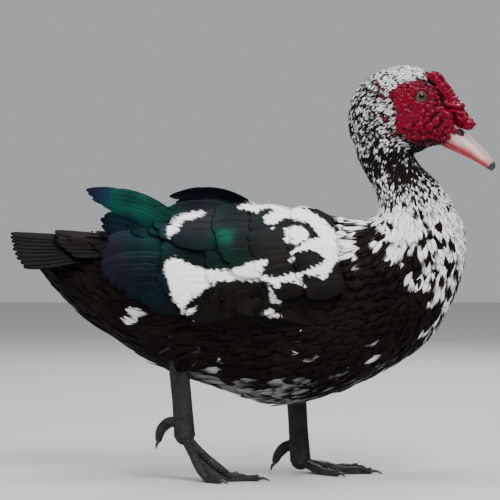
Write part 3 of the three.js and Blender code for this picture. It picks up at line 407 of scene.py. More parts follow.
def ripples(points, scale, seed, count=40):
    """Smooth noise round zero, about one high, with bumps of the given size in metres."""
    draw = np.random.default_rng(seed)
    ways = draw.normal(size=(count, 3))
    ways /= np.linalg.norm(ways, axis=1, keepdims=True)
    ways *= draw.uniform(0.6, 1.5, (count, 1)) * np.pi / scale
    return np.sqrt(2 / count) * np.sin(points @ ways.T + draw.uniform(0, 6.28, count)).sum(axis=1)


def inside_outline(outline, x, z):
    """True where the places lie inside a closed outline."""
    odd = np.zeros(len(x), bool)
    for (ax, az), (bx, bz) in zip(outline, outline[1:] + outline[:1]):
        crossed = (az > z) != (bz > z)
        with np.errstate(divide="ignore", invalid="ignore"):
            odd ^= crossed & (x < (bx - ax) * (z - az) / (bz - az) + ax)
    return odd


def to_outline(outline, x, z):
    """Distance to an outline's edge, above zero inside it."""
    nearest = np.full(len(x), 1e9)
    for (ax, az), (bx, bz) in zip(outline, outline[1:] + outline[:1]):
        ux, uz = bx - ax, bz - az
        along = np.clip(((x - ax) * ux + (z - az) * uz) / (ux * ux + uz * uz), 0, 1)
        nearest = np.minimum(nearest, np.hypot(x - ax - along * ux, z - az - along * uz))
    return np.where(inside_outline(outline, x, z), nearest, -nearest)


def marked(points, own, rough, soft=0.35):
    """How white the markings make each place. Their edges waver, and on the far side they are shifted a
    little.
    """
    x = points[:, 0] / MM + np.where(points[:, 1] > 0, FAR_SIDE_SHIFT, 0)
    z = points[:, 2] / MM
    inner = np.full(len(points), -1e9)
    for outline in WHITE_MARKS:
        placed = tuple(tuple(float(v) / MM for v in seen(*corner)) for corner in outline)
        low, high = np.min(placed, axis=0) - 8, np.max(placed, axis=0) + 8
        near = (x > low[0]) & (x < high[0]) & (z > low[1]) & (z < high[1])
        inner[near] = np.maximum(inner[near], to_outline(placed, x[near], z[near]))
    middle = np.abs(points[:, 1]) / MM
    clear, fade = MARKS_OFF_BACK
    inner -= 16 * smooth_share(clear - middle, 0, fade) * (x > RUMP_X)
    return smooth_share(inner + rough * (own + 0.6 * ripples(points, 3 * MM, 9)), -soft, soft)


def body_white(points, own):
    """How white the plumage is at each place. own is each feather's own chance, round zero."""
    values = guided(points)
    share, blotch = values[:, 3], values[:, 4]
    fine = ripples(points, FINE_FLECK, 5)
    middling = ripples(points, MIDDLE_FLECK, 6)
    coarse = ripples(points, COARSE_FLECK, 7)
    to_coarse = smooth_share(blotch, 3.2, 8)
    mottle = 0.6 * fine + 0.45 * middling + 0.3 * own
    noise = (1 - to_coarse) * mottle + to_coarse * coarse + 0.55 * own
    limit = np.interp(share, *WHITE_LIMITS)
    soft = np.interp(share, (0, 0.3, 0.6), (0.6, 0.35, 0.2)) + 0.4 * (1 - to_coarse)
    return np.maximum(smooth_share(limit - noise, -soft, soft), marked(points, own, 1.1))


def down_colour(points, white, own):
    """Colours of body feathers: warm brown black, and a clean white greyed by painted shade under the belly.
    """
    shade = 1 + 0.22 * ripples(points, 30 * MM, 8)[:, None] + 0.16 * own[:, None]
    brown = np.array(BLACK_DOWN) * shade * np.array(BROWN_TINT)
    # Painted shade: the white is greyed from the belly's top downwards, where the underside lies in shadow.
    grey = 0.74 * smooth_share(BELLY_SHADE_TOP - points[:, 2], 0, BELLY_SHADE_FADE)
    pale = np.array(WHITE_DOWN) * (1 - 0.05 * np.abs(own) - grey)[:, None]
    return brown + (pale - brown) * white[:, None]


# Skin finish. Where the feathers part, the skin shows the same markings, duller, under a fine fuzz.
# It stands for the solids of trunk, neck, tail, head and thighs, and every feather is rooted in it.
STORED_AS = {1: ("FLOAT", "value"), 3: ("FLOAT_VECTOR", "vector"), 4: ("FLOAT_COLOR", "color")}


def store(mesh, name, values):
    """Writes a number, a vector or a colour for each place of a mesh."""
    values = np.asarray(values, np.float32).reshape(len(mesh.vertices), -1)
    kind, key = STORED_AS[values.shape[1]]
    mesh.attributes.new(name, kind, "POINT").data.foreach_set(key, values.ravel())


def paint(mesh, colours):
    """Gives each place of a mesh its colour, which the materials read as plume."""
    rgba = np.ones((len(mesh.vertices), 4), np.float32)
    rgba[:, :3] = np.clip(colours, 0, 1)
    store(mesh, "plume", rgba)


def places_of(mesh, key="co"):
    """The places of a mesh, or their normals if key is normal."""
    values = np.empty(len(mesh.vertices) * 3, np.float32)
    mesh.vertices.foreach_get(key, values)
    return values.reshape(-1, 3).astype(float)


def node_material(name):
    """A material, its shader, and helpers that add nodes to it and link them to the shader."""
    made = bpy.data.materials.new(name)
    made.use_nodes = True
    tree = made.node_tree
    shader = tree.nodes["Principled BSDF"]

    def add(kind, inputs=(), **settings):
        node = tree.nodes.new(kind)
        if kind.startswith("ShaderNodeTex"):
            here = tree.nodes.new("ShaderNodeTexCoord").outputs["Object"]
            tree.links.new(here, node.inputs["Vector"])
        for key, value in settings.items():
            setattr(node, key, value)
        for key, value in dict(inputs).items():
            if hasattr(value, "is_output"):
                tree.links.new(value, node.inputs[key])
            else:
                node.inputs[key].default_value = value
        return node

    def link(output, key):
        tree.links.new(output, shader.inputs[key])

    return made, shader, add, link


def painted_finish(name, relief, rough, specular):
    """A material in the colours of paint, with a relief of height, strength and distance."""
    made, shader, add, link = node_material(name)
    link(add("ShaderNodeAttribute", attribute_name="plume").outputs["Color"], "Base Color")
    height, strength, distance = relief(add)
    bump = add("ShaderNodeBump", {"Height": height, "Strength": strength, "Distance": distance})
    link(bump.outputs[0], "Normal")
    shader.inputs["Roughness"].default_value = rough
    shader.inputs["Specular IOR Level"].default_value = specular
    return made, shader


skin_places = places_of(skin.data)
still = np.zeros(len(skin_places))
skin_colour = down_colour(skin_places, body_white(skin_places, still), still)
paint(skin.data, skin_colour * 0.8)


def fuzz(add):
    return add("ShaderNodeTexNoise", {"Scale": 900.0, "Detail": 4.0}).outputs[0], 0.6, 0.0006


skin_finish, skin_shader = painted_finish("down_skin", fuzz, 0.85, 0.5)
skin_shader.inputs["Sheen Weight"].default_value = 0.2
skin.data.materials.append(skin_finish)
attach(skin, "root")
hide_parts("torso", "neck", "tail", "head", "thigh_right", "thigh_left")

# Small body feathers. Each is a short rounded vane that is thin at its rim, rooted in the skin and
# tilted so that its tip rests on the next ones. They are set in Geometry Nodes on points that keep
# a distance of one spacing, with a larger kind on the trunk and a finer one on the neck and head.
BAKE_PATCH = 0.003
SEEN_AT = 0.72  # how far along a feather its uncovered part lies
FEATHER_MIX = (0.72, 0.28)  # how much its colours follow that part, and each place's own spot
FACE_OUTLINE = (
    (163, 443), (183, 455), (202, 457), (219, 447), (231, 434), (252, 410),
    (239, 397), (226, 387), (203, 381), (187, 388), (172, 405), (173, 424),
)
BROW_GAP = (6.5, 437)  # the feathered strip between the brows: half its width, and its foot
CHIN_Z = 378  # the bare face ends above it
BILL_ROOT = (214, 372, 400)  # where the bill begins, and the heights between which it does
TAIL_FAN_X = (-0.205, -0.236)  # no small feathers past these, on the back and underneath
HEAD_FOOT, NECK_FOOT = 0.372, 0.312
BREAST_X, FLANK_X = 0.105, -0.02
HOCK_NEAR, HOCK_FAR = 20 * MM, 42 * MM
UNDER_WING = (
    (24, 214), (-20, 206), (-66, 202), (-104, 216), (-128, 232), (-132, 256), (-60, 272), (24, 276),
)


def vane_net(rows, columns):
    """A closed vane of two layers: each place's share along, across (-1 to 1) and depth, and faces."""
    places, top = [], {}
    for i in range(rows + 1):
        for j in range(columns + 1):
            top[i, j] = len(places)
            places.append((i / rows, 2 * j / columns - 1, 0))
    under = dict(top)
    for i in range(1, rows):
        for j in range(1, columns):
            under[i, j] = len(places)
            places.append((i / rows, 2 * j / columns - 1, 1))
    faces = []
    for i in range(rows):
        for j in range(columns):
            a, b, c, d = (i, j), (i + 1, j), (i + 1, j + 1), (i, j + 1)
            faces.append([top[k] for k in (a, b, c, d)])
            faces.append([under[k] for k in (a, d, c, b)])
    return np.array(places, float), np.array(faces)


def round_tip(share, root=0.3, widest=0.55, tip=0.16, point=2.4):
    """Half the width of a rounded feather, as a share of its full width."""
    share = np.asarray(share, float)
    opening = root + (1 - root) * np.sin(np.minimum(share / widest, 1) * np.pi / 2)
    closing = np.sqrt(np.maximum(1 - np.maximum((share - 0.5) / 0.5, 0) ** point, 0))
    return 0.5 * opening * np.maximum(closing, tip)


def map_corners(mesh, name, spots):
    """Gives each face corner of a mesh its spot on a map."""
    layer = mesh.uv_layers.new(name=name)
    layer.data.foreach_set("uv", np.asarray(spots, np.float32).ravel())


def feather_pattern(name, rows, columns, bow, droop, cup, thickness):
    """The feather that the coat repeats, as an object that is taken away afterwards."""
    net, faces = vane_net(rows, columns)
    along, across, depth = net.T
    height = bow * np.sin(np.pi * along) - droop * along**2 - cup * across**2 - thickness * depth
    places = np.stack([along, round_tip(along) * across, height], axis=1)
    made = joined(name, [(places, faces.tolist())])
    map_corners(made.data, "vane", np.stack([along, (across + 1) / 2], axis=1)[faces.ravel()])
    return made


def down_finish(name, rough, barb_depth, fringe=0.0):
    """Feathers: their painted colour, a fine shaft, slanting barbs and a paler soft edge."""
    made, shader, add, link = node_material(name)
    plume = add("ShaderNodeAttribute", attribute_name="plume").outputs["Color"]
    vane = add("ShaderNodeUVMap", uv_map="vane").outputs["UV"]
    axes = add("ShaderNodeSeparateXYZ", {"Vector": vane})
    offset = add("ShaderNodeMath", {0: axes.outputs["Y"], 1: 0.5}, operation="SUBTRACT")
    across = add("ShaderNodeMath", {0: offset.outputs[0]}, operation="ABSOLUTE").outputs[0]
    slant = add("ShaderNodeMath", {0: across, 1: 0.9, 2: axes.outputs["X"]}, operation="MULTIPLY_ADD")
    barbs = add("ShaderNodeMath", {0: slant.outputs[0], 1: 150.0}, operation="MULTIPLY")
    wave = add("ShaderNodeMath", {0: barbs.outputs[0]}, operation="SINE").outputs[0]

    def ranged(value, low, high, at_low, at_high):
        limits = {"From Min": low, "From Max": high, "To Min": at_low, "To Max": at_high}
        return add("ShaderNodeMapRange", {"Value": value, **limits}).outputs[0]

    shaft = ranged(across, 0.0, 0.035, 1.0, 0.0)
    rim = ranged(across, 0.3, 0.5, 0.0, 1.0)
    tip = ranged(axes.outputs["X"], 0.82, 1.0, 0.0, 1.0)
    edge = add("ShaderNodeMath", {0: rim, 1: tip}, operation="MAXIMUM").outputs[0]
    lift = add("ShaderNodeMath", {0: edge, 1: 0.1, 2: 1.0}, operation="MULTIPLY_ADD").outputs[0]
    streak = add("ShaderNodeMath", {0: wave, 1: 0.07, 2: lift}, operation="MULTIPLY_ADD").outputs[0]
    quill = add("ShaderNodeMath", {0: shaft, 1: -0.25, 2: streak}, operation="MULTIPLY_ADD").outputs[0]
    tone = add("ShaderNodeVectorMath", {0: plume, "Scale": quill}, operation="SCALE").outputs[0]
    frost = add("ShaderNodeMath", {0: edge, 1: fringe}, operation="MULTIPLY").outputs[0]
    link(add("ShaderNodeVectorMath", {0: tone, 1: frost}, operation="ADD").outputs[0], "Base Color")
    rough_wave = add("ShaderNodeMath", {0: wave, 1: 0.05, 2: rough}, operation="MULTIPLY_ADD")
    link(rough_wave.outputs[0], "Roughness")
    shader.inputs["Specular IOR Level"].default_value = 0.07
    height = add("ShaderNodeMath", {0: shaft, 1: 3.0, 2: wave}, operation="MULTIPLY_ADD").outputs[0]
    bump = add("ShaderNodeBump", {"Height": height, "Strength": 0.35, "Distance": barb_depth * MM})
    link(bump.outputs[0], "Normal")
    return made


def tree_of(places):
    """A tree that finds the nearest of many places."""
    tree = KDTree(len(places))
    for number, place in enumerate(places):
        tree.insert(place, number)
    tree.balance()
    return tree


def scattered(mesh, count, spacing_of, seed, low=-1.0, high=1.0):
    """Places on a mesh between two heights that keep their own spacing, with the skin's normals."""
    draw = np.random.default_rng(seed)
    mesh.calc_loop_triangles()
    corners = np.empty(len(mesh.loop_triangles) * 3, np.int32)
    mesh.loop_triangles.foreach_get("vertices", corners)
    corners = corners.reshape(-1, 3)
    places, normals = places_of(mesh), places_of(mesh, "normal")
    a, b, c = (places[corners[:, k]] for k in range(3))
    area = np.linalg.norm(np.cross(b - a, c - a), axis=1)
    area = area * (a[:, 2] >= low) * (a[:, 2] < high)
    picked = draw.choice(len(area), count, p=area / area.sum())
    r, s = np.sqrt(draw.random(count)), draw.random(count)
    shares = np.stack([1 - r, r * (1 - s), r * s], axis=1)[..., None]
    points = (places[corners[picked]] * shares).sum(axis=1)
    ways = (normals[corners[picked]] * shares).sum(axis=1)
    ways /= np.linalg.norm(ways, axis=1, keepdims=True)
    spacing = spacing_of(points, ways)
    usable = spacing > 0
    points, ways, spacing = points[usable], ways[usable], spacing[usable]
    tree = tree_of(points)
    free = np.ones(len(points), bool)
    kept = []
    for i in range(len(points)):
        if free[i]:
            kept.append(i)
            for _, j, _ in tree.find_range(points[i], spacing[i]):
                free[j] = False
    kept = np.array(kept)
    return points[kept], ways[kept], spacing[kept]


def unit(vectors):
    """Vectors drawn out or in to a length of one."""
    return vectors / np.maximum(np.linalg.norm(vectors, axis=-1, keepdims=True), 1e-12)


unwrap_places = np.concatenate([trunk_shell.reshape(-1, 3), head_shell.reshape(-1, 3)])
unwrap_spots = np.concatenate(
    [
        np.stack([start + long * t / t.max(), 0.01 + 0.98 * around / 6.2832], -1).reshape(-1, 2)
        for start, long, t, around in ((0.01, 0.7, trunk_t, trunk_a), (0.73, 0.26, head_t, head_a))
    ]
)
unwrap_tree = tree_of(unwrap_places)


def unwrap_of(points):
    """Each place's spot on the unwrap of the skin: along the trunk or head, and round it."""
    return np.array([unwrap_spots[unwrap_tree.find(p)[1]] for p in points])


def coat_tree():
    """Geometry Nodes that set one feather on each point and write its patch of the bake map."""
    tree = bpy.data.node_groups.new("feather_coat", "GeometryNodeTree")
    face = tree.interface
    face.new_socket("Roots", in_out="INPUT", socket_type="NodeSocketGeometry")
    face.new_socket("Feather", in_out="INPUT", socket_type="NodeSocketObject")
    face.new_socket("Finish", in_out="INPUT", socket_type="NodeSocketMaterial")
    face.new_socket("Bake patch", in_out="INPUT", socket_type="NodeSocketFloat")
    face.new_socket("Coat", in_out="OUTPUT", socket_type="NodeSocketGeometry")
    nodes, wire = tree.nodes, tree.links.new

    def read(name, kind):
        node = nodes.new("GeometryNodeInputNamedAttribute")
        node.data_type = kind
        node.inputs["Name"].default_value = name
        return node.outputs["Attribute"]

    given, made = nodes.new("NodeGroupInput"), nodes.new("NodeGroupOutput")
    feather = nodes.new("GeometryNodeObjectInfo")
    wire(given.outputs["Feather"], feather.inputs["Object"])
    turn = nodes.new("FunctionNodeAxesToRotation")
    turn.primary_axis, turn.secondary_axis = "X", "Z"
    wire(read("lie", "FLOAT_VECTOR"), turn.inputs["Primary Axis"])
    wire(read("up", "FLOAT_VECTOR"), turn.inputs["Secondary Axis"])
    place = nodes.new("GeometryNodeInstanceOnPoints")
    wire(given.outputs["Roots"], place.inputs["Points"])
    wire(feather.outputs["Geometry"], place.inputs["Instance"])
    wire(turn.outputs["Rotation"], place.inputs["Rotation"])
    wire(read("size", "FLOAT_VECTOR"), place.inputs["Scale"])
    real = nodes.new("GeometryNodeRealizeInstances")
    wire(place.outputs["Instances"], real.inputs["Geometry"])
    centred = nodes.new("ShaderNodeVectorMath")
    centred.operation = "SUBTRACT"
    centred.inputs[1].default_value = (0.5, 0.5, 0)
    wire(read("vane", "FLOAT_VECTOR"), centred.inputs[0])
    small = nodes.new("ShaderNodeVectorMath")
    small.operation = "SCALE"
    wire(centred.outputs[0], small.inputs[0])
    wire(given.outputs["Bake patch"], small.inputs["Scale"])
    spot = nodes.new("ShaderNodeVectorMath")
    spot.operation = "ADD"
    wire(small.outputs[0], spot.inputs[0])
    wire(read("root_spot", "FLOAT_VECTOR"), spot.inputs[1])
    store = nodes.new("GeometryNodeStoreNamedAttribute")
    store.data_type, store.domain = "FLOAT2", "CORNER"
    store.inputs["Name"].default_value = "OFBake"
    wire(real.outputs["Geometry"], store.inputs["Geometry"])
    wire(spot.outputs[0], store.inputs["Value"])
    dress = nodes.new("GeometryNodeSetMaterial")
    wire(store.outputs["Geometry"], dress.inputs["Geometry"])
    wire(given.outputs["Finish"], dress.inputs["Material"])
    wire(dress.outputs["Geometry"], made.inputs["Coat"])
    return tree


COAT_TREE = coat_tree()


def coat(name, points, lie, up, size, own, pattern, finish, colour_of):
    """A piece of coat: a feather on each root, made one plain mesh and painted."""
    roots = bpy.data.meshes.new(name)
    roots.from_pydata(points.tolist(), [], [])
    seen_part = points + SEEN_AT * lie * size[:, :1]
    root_spot = np.concatenate([unwrap_of(points), np.zeros((len(points), 1))], axis=1)
    for key, values in (
        ("lie", lie), ("up", up), ("size", size), ("own", own),
        ("seen_part", seen_part), ("root_spot", root_spot),
    ):
        store(roots, key, values)
    made = bpy.data.objects.new(name, roots)
    bpy.context.scene.collection.objects.link(made)
    grow = made.modifiers.new("grow", "NODES")
    grow.node_group = COAT_TREE
    sockets = {item.name: item.identifier for item in COAT_TREE.interface.items_tree}
    grow[sockets["Feather"]] = pattern
    grow[sockets["Finish"]] = finish
    grow[sockets["Bake patch"]] = BAKE_PATCH
    mesh = settled(made)
    mesh.name = name
    chance = np.empty(len(mesh.vertices), np.float32)
    mesh.attributes["own"].data.foreach_get("value", chance)
    shown = np.empty(len(mesh.vertices) * 3, np.float32)
    mesh.attributes["seen_part"].data.foreach_get("vector", shown)
    by_part, by_place = FEATHER_MIX
    marks_at = by_part * shown.reshape(-1, 3) + by_place * places_of(mesh)
    paint(mesh, colour_of(marks_at, chance.astype(float)))
    for spare in ("lie", "up", "size", "root_spot", "seen_part"):
        if spare in mesh.attributes:
            mesh.attributes.remove(mesh.attributes[spare])
    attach(made, "root")


def body_colour(points, own):
    """The colours of the small feathers everywhere."""
    return down_colour(points, body_white(points, own), own)


def straight_head(points):
    """The reverse of turned_head."""
    return rotated(rotated(np.asarray(points, float), -HEAD_TURN, 2), -HEAD_TILT, 0)


def bare_face(points):
    """True where the bare face, the bill or its root leave no feathers."""
    x, y, z = straight_head(points).T / MM
    bill_x, bill_low, bill_high = BILL_ROOT
    gap, gap_foot = BROW_GAP
    inside = (to_outline(FACE_OUTLINE, x, z) > 0.5) & (z > CHIN_Z)
    between_brows = (np.abs(y) < gap) & (z > gap_foot)
    at_bill = (x > bill_x) & (z > bill_low) & (z < bill_high)
    return (inside & ~between_brows) | at_bill


def under_wing(points):
    """True well inside a wing's long feathers, where small ones would never be seen."""
    inside = to_outline(UNDER_WING, points[:, 0] / MM, points[:, 2] / MM) > 0
    return inside & (np.abs(points[:, 1]) > 40 * MM)


def body_spacing(points, ways):
    """How far apart the feathers' roots are, or below zero where none grow."""
    spacing = guided(points)[:, 2] * MM
    above, everywhere = TAIL_FAN_X
    under_tail_fan = (points[:, 0] < above) & (ways[:, 2] > -0.25) | (points[:, 0] < everywhere)
    return np.where(bare_face(points) | under_wing(points) | under_tail_fan, -1, spacing)


def grown(label, points, ways, spacing, long, wide, tilts, pattern, finish, slot, seed):
    """Feathers on roots, lying as the plumage map says, each with its own small differences. long and
    wide count spacings, and tilts are spacings in mm and the degrees of tilt at them."""
    draw = np.random.default_rng(seed)
    values = guided(points)
    lie = np.stack([values[:, 0], np.zeros(len(points)), values[:, 1]], axis=1)
    size_share = np.ones(len(points))
    for hip, hock, *_ in THIGHS:
        away = np.linalg.norm(points - np.array(hock) * MM, axis=1)
        near = 1 - smooth_share(away, HOCK_NEAR, HOCK_FAR)
        lie += (unit(np.subtract(hock, hip)) - lie) * near[:, None]
        size_share -= 0.35 * near
    lie += 0.12 * draw.normal(size=lie.shape)
    lie = unit(lie - (lie * ways).sum(axis=1, keepdims=True) * ways)
    degrees = np.interp(spacing / MM, *tilts) + 1.8 * draw.normal(size=len(points))
    tilt = np.radians(degrees)[:, None]
    raised = unit(lie * np.cos(tilt) + ways * np.sin(tilt))
    up = unit(ways * np.cos(tilt) - lie * np.sin(tilt) + 0.1 * draw.normal(size=lie.shape))
    length = spacing * long * size_share * draw.uniform(0.85, 1.15, len(points))
    size = np.stack([length, spacing * wide * draw.uniform(0.9, 1.1, len(points)), length], axis=1)
    own = draw.normal(size=len(points))
    coat(label, points, raised, up, size, own, pattern, finish, body_colour)


body_pattern = feather_pattern(
    "body_vane", rows=5, columns=4, bow=0.03, droop=0.03, cup=0.014, thickness=0.007
)
fine_pattern = feather_pattern(
    "fine_vane", rows=3, columns=2, bow=0.06, droop=0.05, cup=0.04, thickness=0.03
)
down = down_finish("body_feather", 0.66, 0.15)
fine_down = down_finish("neck_feather", 0.66, 0.1, fringe=0.05)
head_roots = scattered(
    skin.data, 110000, lambda p, n: body_spacing(p, n) * 0.62, seed=23, low=HEAD_FOOT
)
grown(
    "head_feathers", *head_roots, long=4.6, wide=1.4, tilts=((1, 3), (12, 9)),
    pattern=fine_pattern, finish=fine_down, slot="plumage_pied", seed=24,
)
neck_roots = scattered(
    skin.data, 80000, lambda p, n: body_spacing(p, n) * 0.58, seed=25, low=NECK_FOOT, high=HEAD_FOOT
)
grown(
    "neck_feathers", *neck_roots, long=4.8, wide=1.5, tilts=((1, 3), (10, 8)),
    pattern=fine_pattern, finish=fine_down, slot="plumage_pied", seed=26,
)
points, ways, spacing = scattered(
    skin.data, 190000, lambda p, n: body_spacing(p, n) * 0.78, seed=21, high=NECK_FOOT
)
for label, chosen in (
    ("breast_feathers", points[:, 0] > BREAST_X),
    ("flank_feathers", (points[:, 0] > FLANK_X) & (points[:, 0] <= BREAST_X)),
    ("rear_feathers", points[:, 0] <= FLANK_X),
):
    grown(
        label, points[chosen], ways[chosen], spacing[chosen], long=5.4, wide=1.62,
        tilts=((3, 6), (5.2, 2.9)), pattern=body_pattern, finish=down, slot="plumage_dark", seed=27,
    )
for pattern in (body_pattern, fine_pattern):
    bpy.data.objects.remove(pattern)

# Wings and side feathers. A folded wing is tiers of long blades over its arm: primaries furthest
# back, then secondaries, two tiers of coverts, inner and shoulder feathers. Each covers the next,
# and loose side feathers of the flank lie over the lower edge. The far wing has three more, raised.
WING_OFF_BODY = 10.5
WING_TURN_UP = (0.86, 0.1)
WING_X = np.arange(-225, 150, 2.5)
WING_Z = np.arange(160, 360, 2.5)
SHEEN_BLUR = 1.5 * MM
SHEEN_DEPTH = 0.45
WING_WHITE_X = -0.12  # no white on the wing behind it
LONG_BAKE_PATCH = 0.009


def width_table(rings, fullness, t, grow, xs, zs, turn_up):
    """Half the width of a loft on a grid of the side view in mm. Past turn_up it stays wider."""
    back_x, back_z, belly_x, belly_z, half = between_rows(rings, t).T
    up_x, up_z = back_x - belly_x, back_z - belly_z
    height = np.hypot(up_x, up_z)
    up_x, up_z = up_x / height, up_z / height
    x, z = np.meshgrid(xs, zs, indexing="ij")
    dx = x.reshape(-1, 1) - (back_x + belly_x) / 2
    dz = z.reshape(-1, 1) - (back_z + belly_z) / 2
    picked = np.argmin(np.abs(dx * up_z - dz * up_x), axis=1)
    line = np.arange(len(picked))
    risen = np.abs(dx[line, picked] * up_x[picked] + dz[line, picked] * up_z[picked])
    share = risen / (height[picked] / 2 + grow)
    start, room = turn_up
    over = np.maximum(share - start, 0)
    rise = np.minimum(share, start) + room * (1 - np.exp(-over / room))
    wide = (half[picked] + grow) * (1 - rise**fullness) ** (1 / fullness)
    return wide.reshape(x.shape)


def looked_up(table, xs, zs, x, z):
    """A value between those of a table over the side view."""
    step = xs[1] - xs[0]
    i = np.clip((x - xs[0]) / step, 0, len(xs) - 1.001)
    j = np.clip((z - zs[0]) / step, 0, len(zs) - 1.001)
    a, b = i.astype(int), j.astype(int)
    f, g = i - a, j - b
    low = table[a, b] * (1 - f) + table[a + 1, b] * f
    high = table[a, b + 1] * (1 - f) + table[a + 1, b + 1] * f
    return low * (1 - g) + high * g


WING_FACE = width_table(
    TRUNK_RINGS, TRUNK_FULLNESS, np.linspace(0.3, 11.6, 700), WING_OFF_BODY, WING_X, WING_Z, WING_TURN_UP
)


def wing_face(x, z):
    """How far from the bird's middle the wing's face is, in mm."""
    return looked_up(WING_FACE, WING_X, WING_Z, x, z)


def primary_face(x, z):
    """The same for the primaries, which draw in towards the tail."""
    share = np.maximum((x + 60) / -130, 0)
    return 64 - 61 * share**1.6 - 0.25 * (z - 255) * np.maximum(1 - share, 0)


def on_wing(side, face=wing_face):
    """Gives a function that puts side-view places at a height over a wing's face, in mm."""

    def place(x, z, height):
        slope_x = (face(x + 3, z) - face(x - 3, z)) / 6
        slope_z = (face(x, z + 3) - face(x, z - 3)) / 6
        normal = unit(np.stack([-slope_x, np.ones_like(x), -slope_z], axis=-1))
        at = np.stack([x, face(x, z), z], axis=-1) + normal * height[..., None]
        return at * (1, side, 1)

    return place


NETS = {}


def vane(place, root, tip, width, heights, draw, rows=34, columns=12, bend=0.0, shingle=0.0,
         cup=0.04, shape=(0.35, 0.6, 0.12, 2.6), notches=3, thickness=0.35):
    """One blade from root to tip. heights are its height at both, and shingle its slope across."""
    if (rows, columns) not in NETS:
        NETS[rows, columns] = vane_net(rows, columns)
    net, faces = NETS[rows, columns]
    along, across, depth = net.T
    root, tip = np.array(root, float), np.array(tip, float)
    length = np.linalg.norm(tip - root)
    ahead = (tip - root) / length
    beside = np.array((-ahead[1], ahead[0])) * np.sign(ahead[0] or 1)
    half = width * round_tip(along, *shape)
    for _ in range(notches):
        at, edge, deep = draw.uniform(0.45, 0.97), draw.choice((-1, 1)), draw.uniform(0.04, 0.14)
        half = half * (1 - deep * np.exp(-(((along - at) / 0.022) ** 2)) * (across * edge > 0.6))
    offset = half * across
    reach = along + 0.04 * width / length * np.abs(across) * (along < 1) * np.sin(np.pi * along)
    flat = root + (reach * length)[:, None] * ahead
    flat = flat + (offset + bend * np.sin(np.pi * along) * length)[:, None] * beside
    low, high = heights
    rise = low + (high - low) * along + shingle * offset - cup * width * across**2
    rise = rise - thickness * depth
    barb = along * length - 0.45 * width * np.abs(across)
    return place(flat[:, 0], flat[:, 1], rise) * MM, faces, along, across, barb


def plumes(name, vanes, colour_of, finish):
    """Joins blades into one mesh with its maps, and paints it."""
    made = joined(name, [(places, faces.tolist()) for places, faces, *_ in vanes])
    mesh = made.data
    corners = np.empty(len(mesh.loops), np.int32)
    mesh.loops.foreach_get("vertex_index", corners)
    vane_spots = np.concatenate([np.stack([v[2], (v[3] + 1) / 2], axis=1) for v in vanes])
    map_corners(mesh, "vane", vane_spots[corners])
    counts = [len(v[0]) for v in vanes]
    roots = unwrap_of([v[0][v[2] == 0].mean(axis=0) for v in vanes])
    bake = (vane_spots - 0.5) * LONG_BAKE_PATCH + np.repeat(roots, counts, axis=0)
    map_corners(mesh, "OFBake", bake[corners])
    turn_faces_out(mesh)
    own = np.random.default_rng(len(mesh.vertices)).normal(size=len(vanes))
    barbs = np.concatenate([v[4] + 31 * k for k, v in enumerate(vanes)])
    fringe = np.sin(barbs * 1.9) + np.sin(barbs * 3.3 + 1) + np.sin(barbs * 0.9 + 2)
    colours, gloss = colour_of(places_of(mesh), np.repeat(own, counts), fringe)
    paint(mesh, colours)
    store(mesh, "gloss", gloss)
    mesh.materials.append(finish)
    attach(made, "root")
    return made


SHEEN = np.array(
    (
        # photo x and y, then the colour of the wing there: purple, green, blue and brown blacks
        (90, 190, 0.035, 0.026, 0.1), (102, 196, 0.018, 0.05, 0.1), (118, 202, 0.003, 0.115, 0.08),
        (140, 208, 0.003, 0.1, 0.07), (165, 214, 0.004, 0.08, 0.055), (100, 222, 0.006, 0.012, 0.03),
        (130, 222, 0.004, 0.018, 0.038), (155, 232, 0.002, 0.05, 0.055), (170, 222, 0.004, 0.03, 0.035),
        (110, 250, 0.018, 0.012, 0.03), (108, 270, 0.012, 0.012, 0.03), (130, 275, 0.008, 0.014, 0.027),
        (120, 295, 0.006, 0.011, 0.02), (150, 265, 0.004, 0.017, 0.022), (150, 300, 0.004, 0.018, 0.024),
        (170, 310, 0.005, 0.014, 0.014), (190, 240, 0.006, 0.016, 0.019), (190, 222, 0.02, 0.022, 0.033),
        (205, 218, 0.02, 0.022, 0.03), (215, 250, 0.004, 0.02, 0.018), (226, 234, 0.0015, 0.085, 0.052),
        (230, 219, 0.005, 0.018, 0.016), (226, 248, 0.003, 0.032, 0.024), (240, 240, 0.005, 0.013, 0.012),
        (245, 262, 0.003, 0.022, 0.014), (215, 262, 0.004, 0.02, 0.016), (250, 225, 0.008, 0.012, 0.017),
        (265, 250, 0.012, 0.01, 0.008), (290, 262, 0.014, 0.011, 0.009), (300, 290, 0.014, 0.011, 0.009),
        (240, 290, 0.017, 0.0125, 0.0095), (210, 300, 0.015, 0.0115, 0.009), (340, 250, 0.014, 0.011, 0.009),
        (190, 196, 0.012, 0.022, 0.032), (240, 196, 0.006, 0.02, 0.024),
    )
)
SHEEN_X, SHEEN_Z = seen(SHEEN[:, 0], SHEEN[:, 1])


def wing_colour(points, own, fringe):
    """Wing markings over the dark sheen, and how much of the sheen shows."""
    away = np.hypot(points[:, None, 0] - SHEEN_X, points[:, None, 2] - SHEEN_Z)
    weight = 1 / (away + SHEEN_BLUR) ** 4
    dark = SHEEN_DEPTH * weight @ SHEEN[:, 2:] / weight.sum(axis=1, keepdims=True)
    dark = dark * (1 + 0.12 * own + 0.15 * ripples(points, 14 * MM, 12))[:, None]
    white = marked(points, 0.8 * own + 0.7 * fringe, 0.9, 0.7) * (points[:, 0] > WING_WHITE_X)
    colour = dark + (np.array(WHITE_DOWN) - dark) * white[:, None]
    rich = (dark.max(axis=1) - dark.min(axis=1)) / dark.max(axis=1)
    return colour, rich * (1 - white)


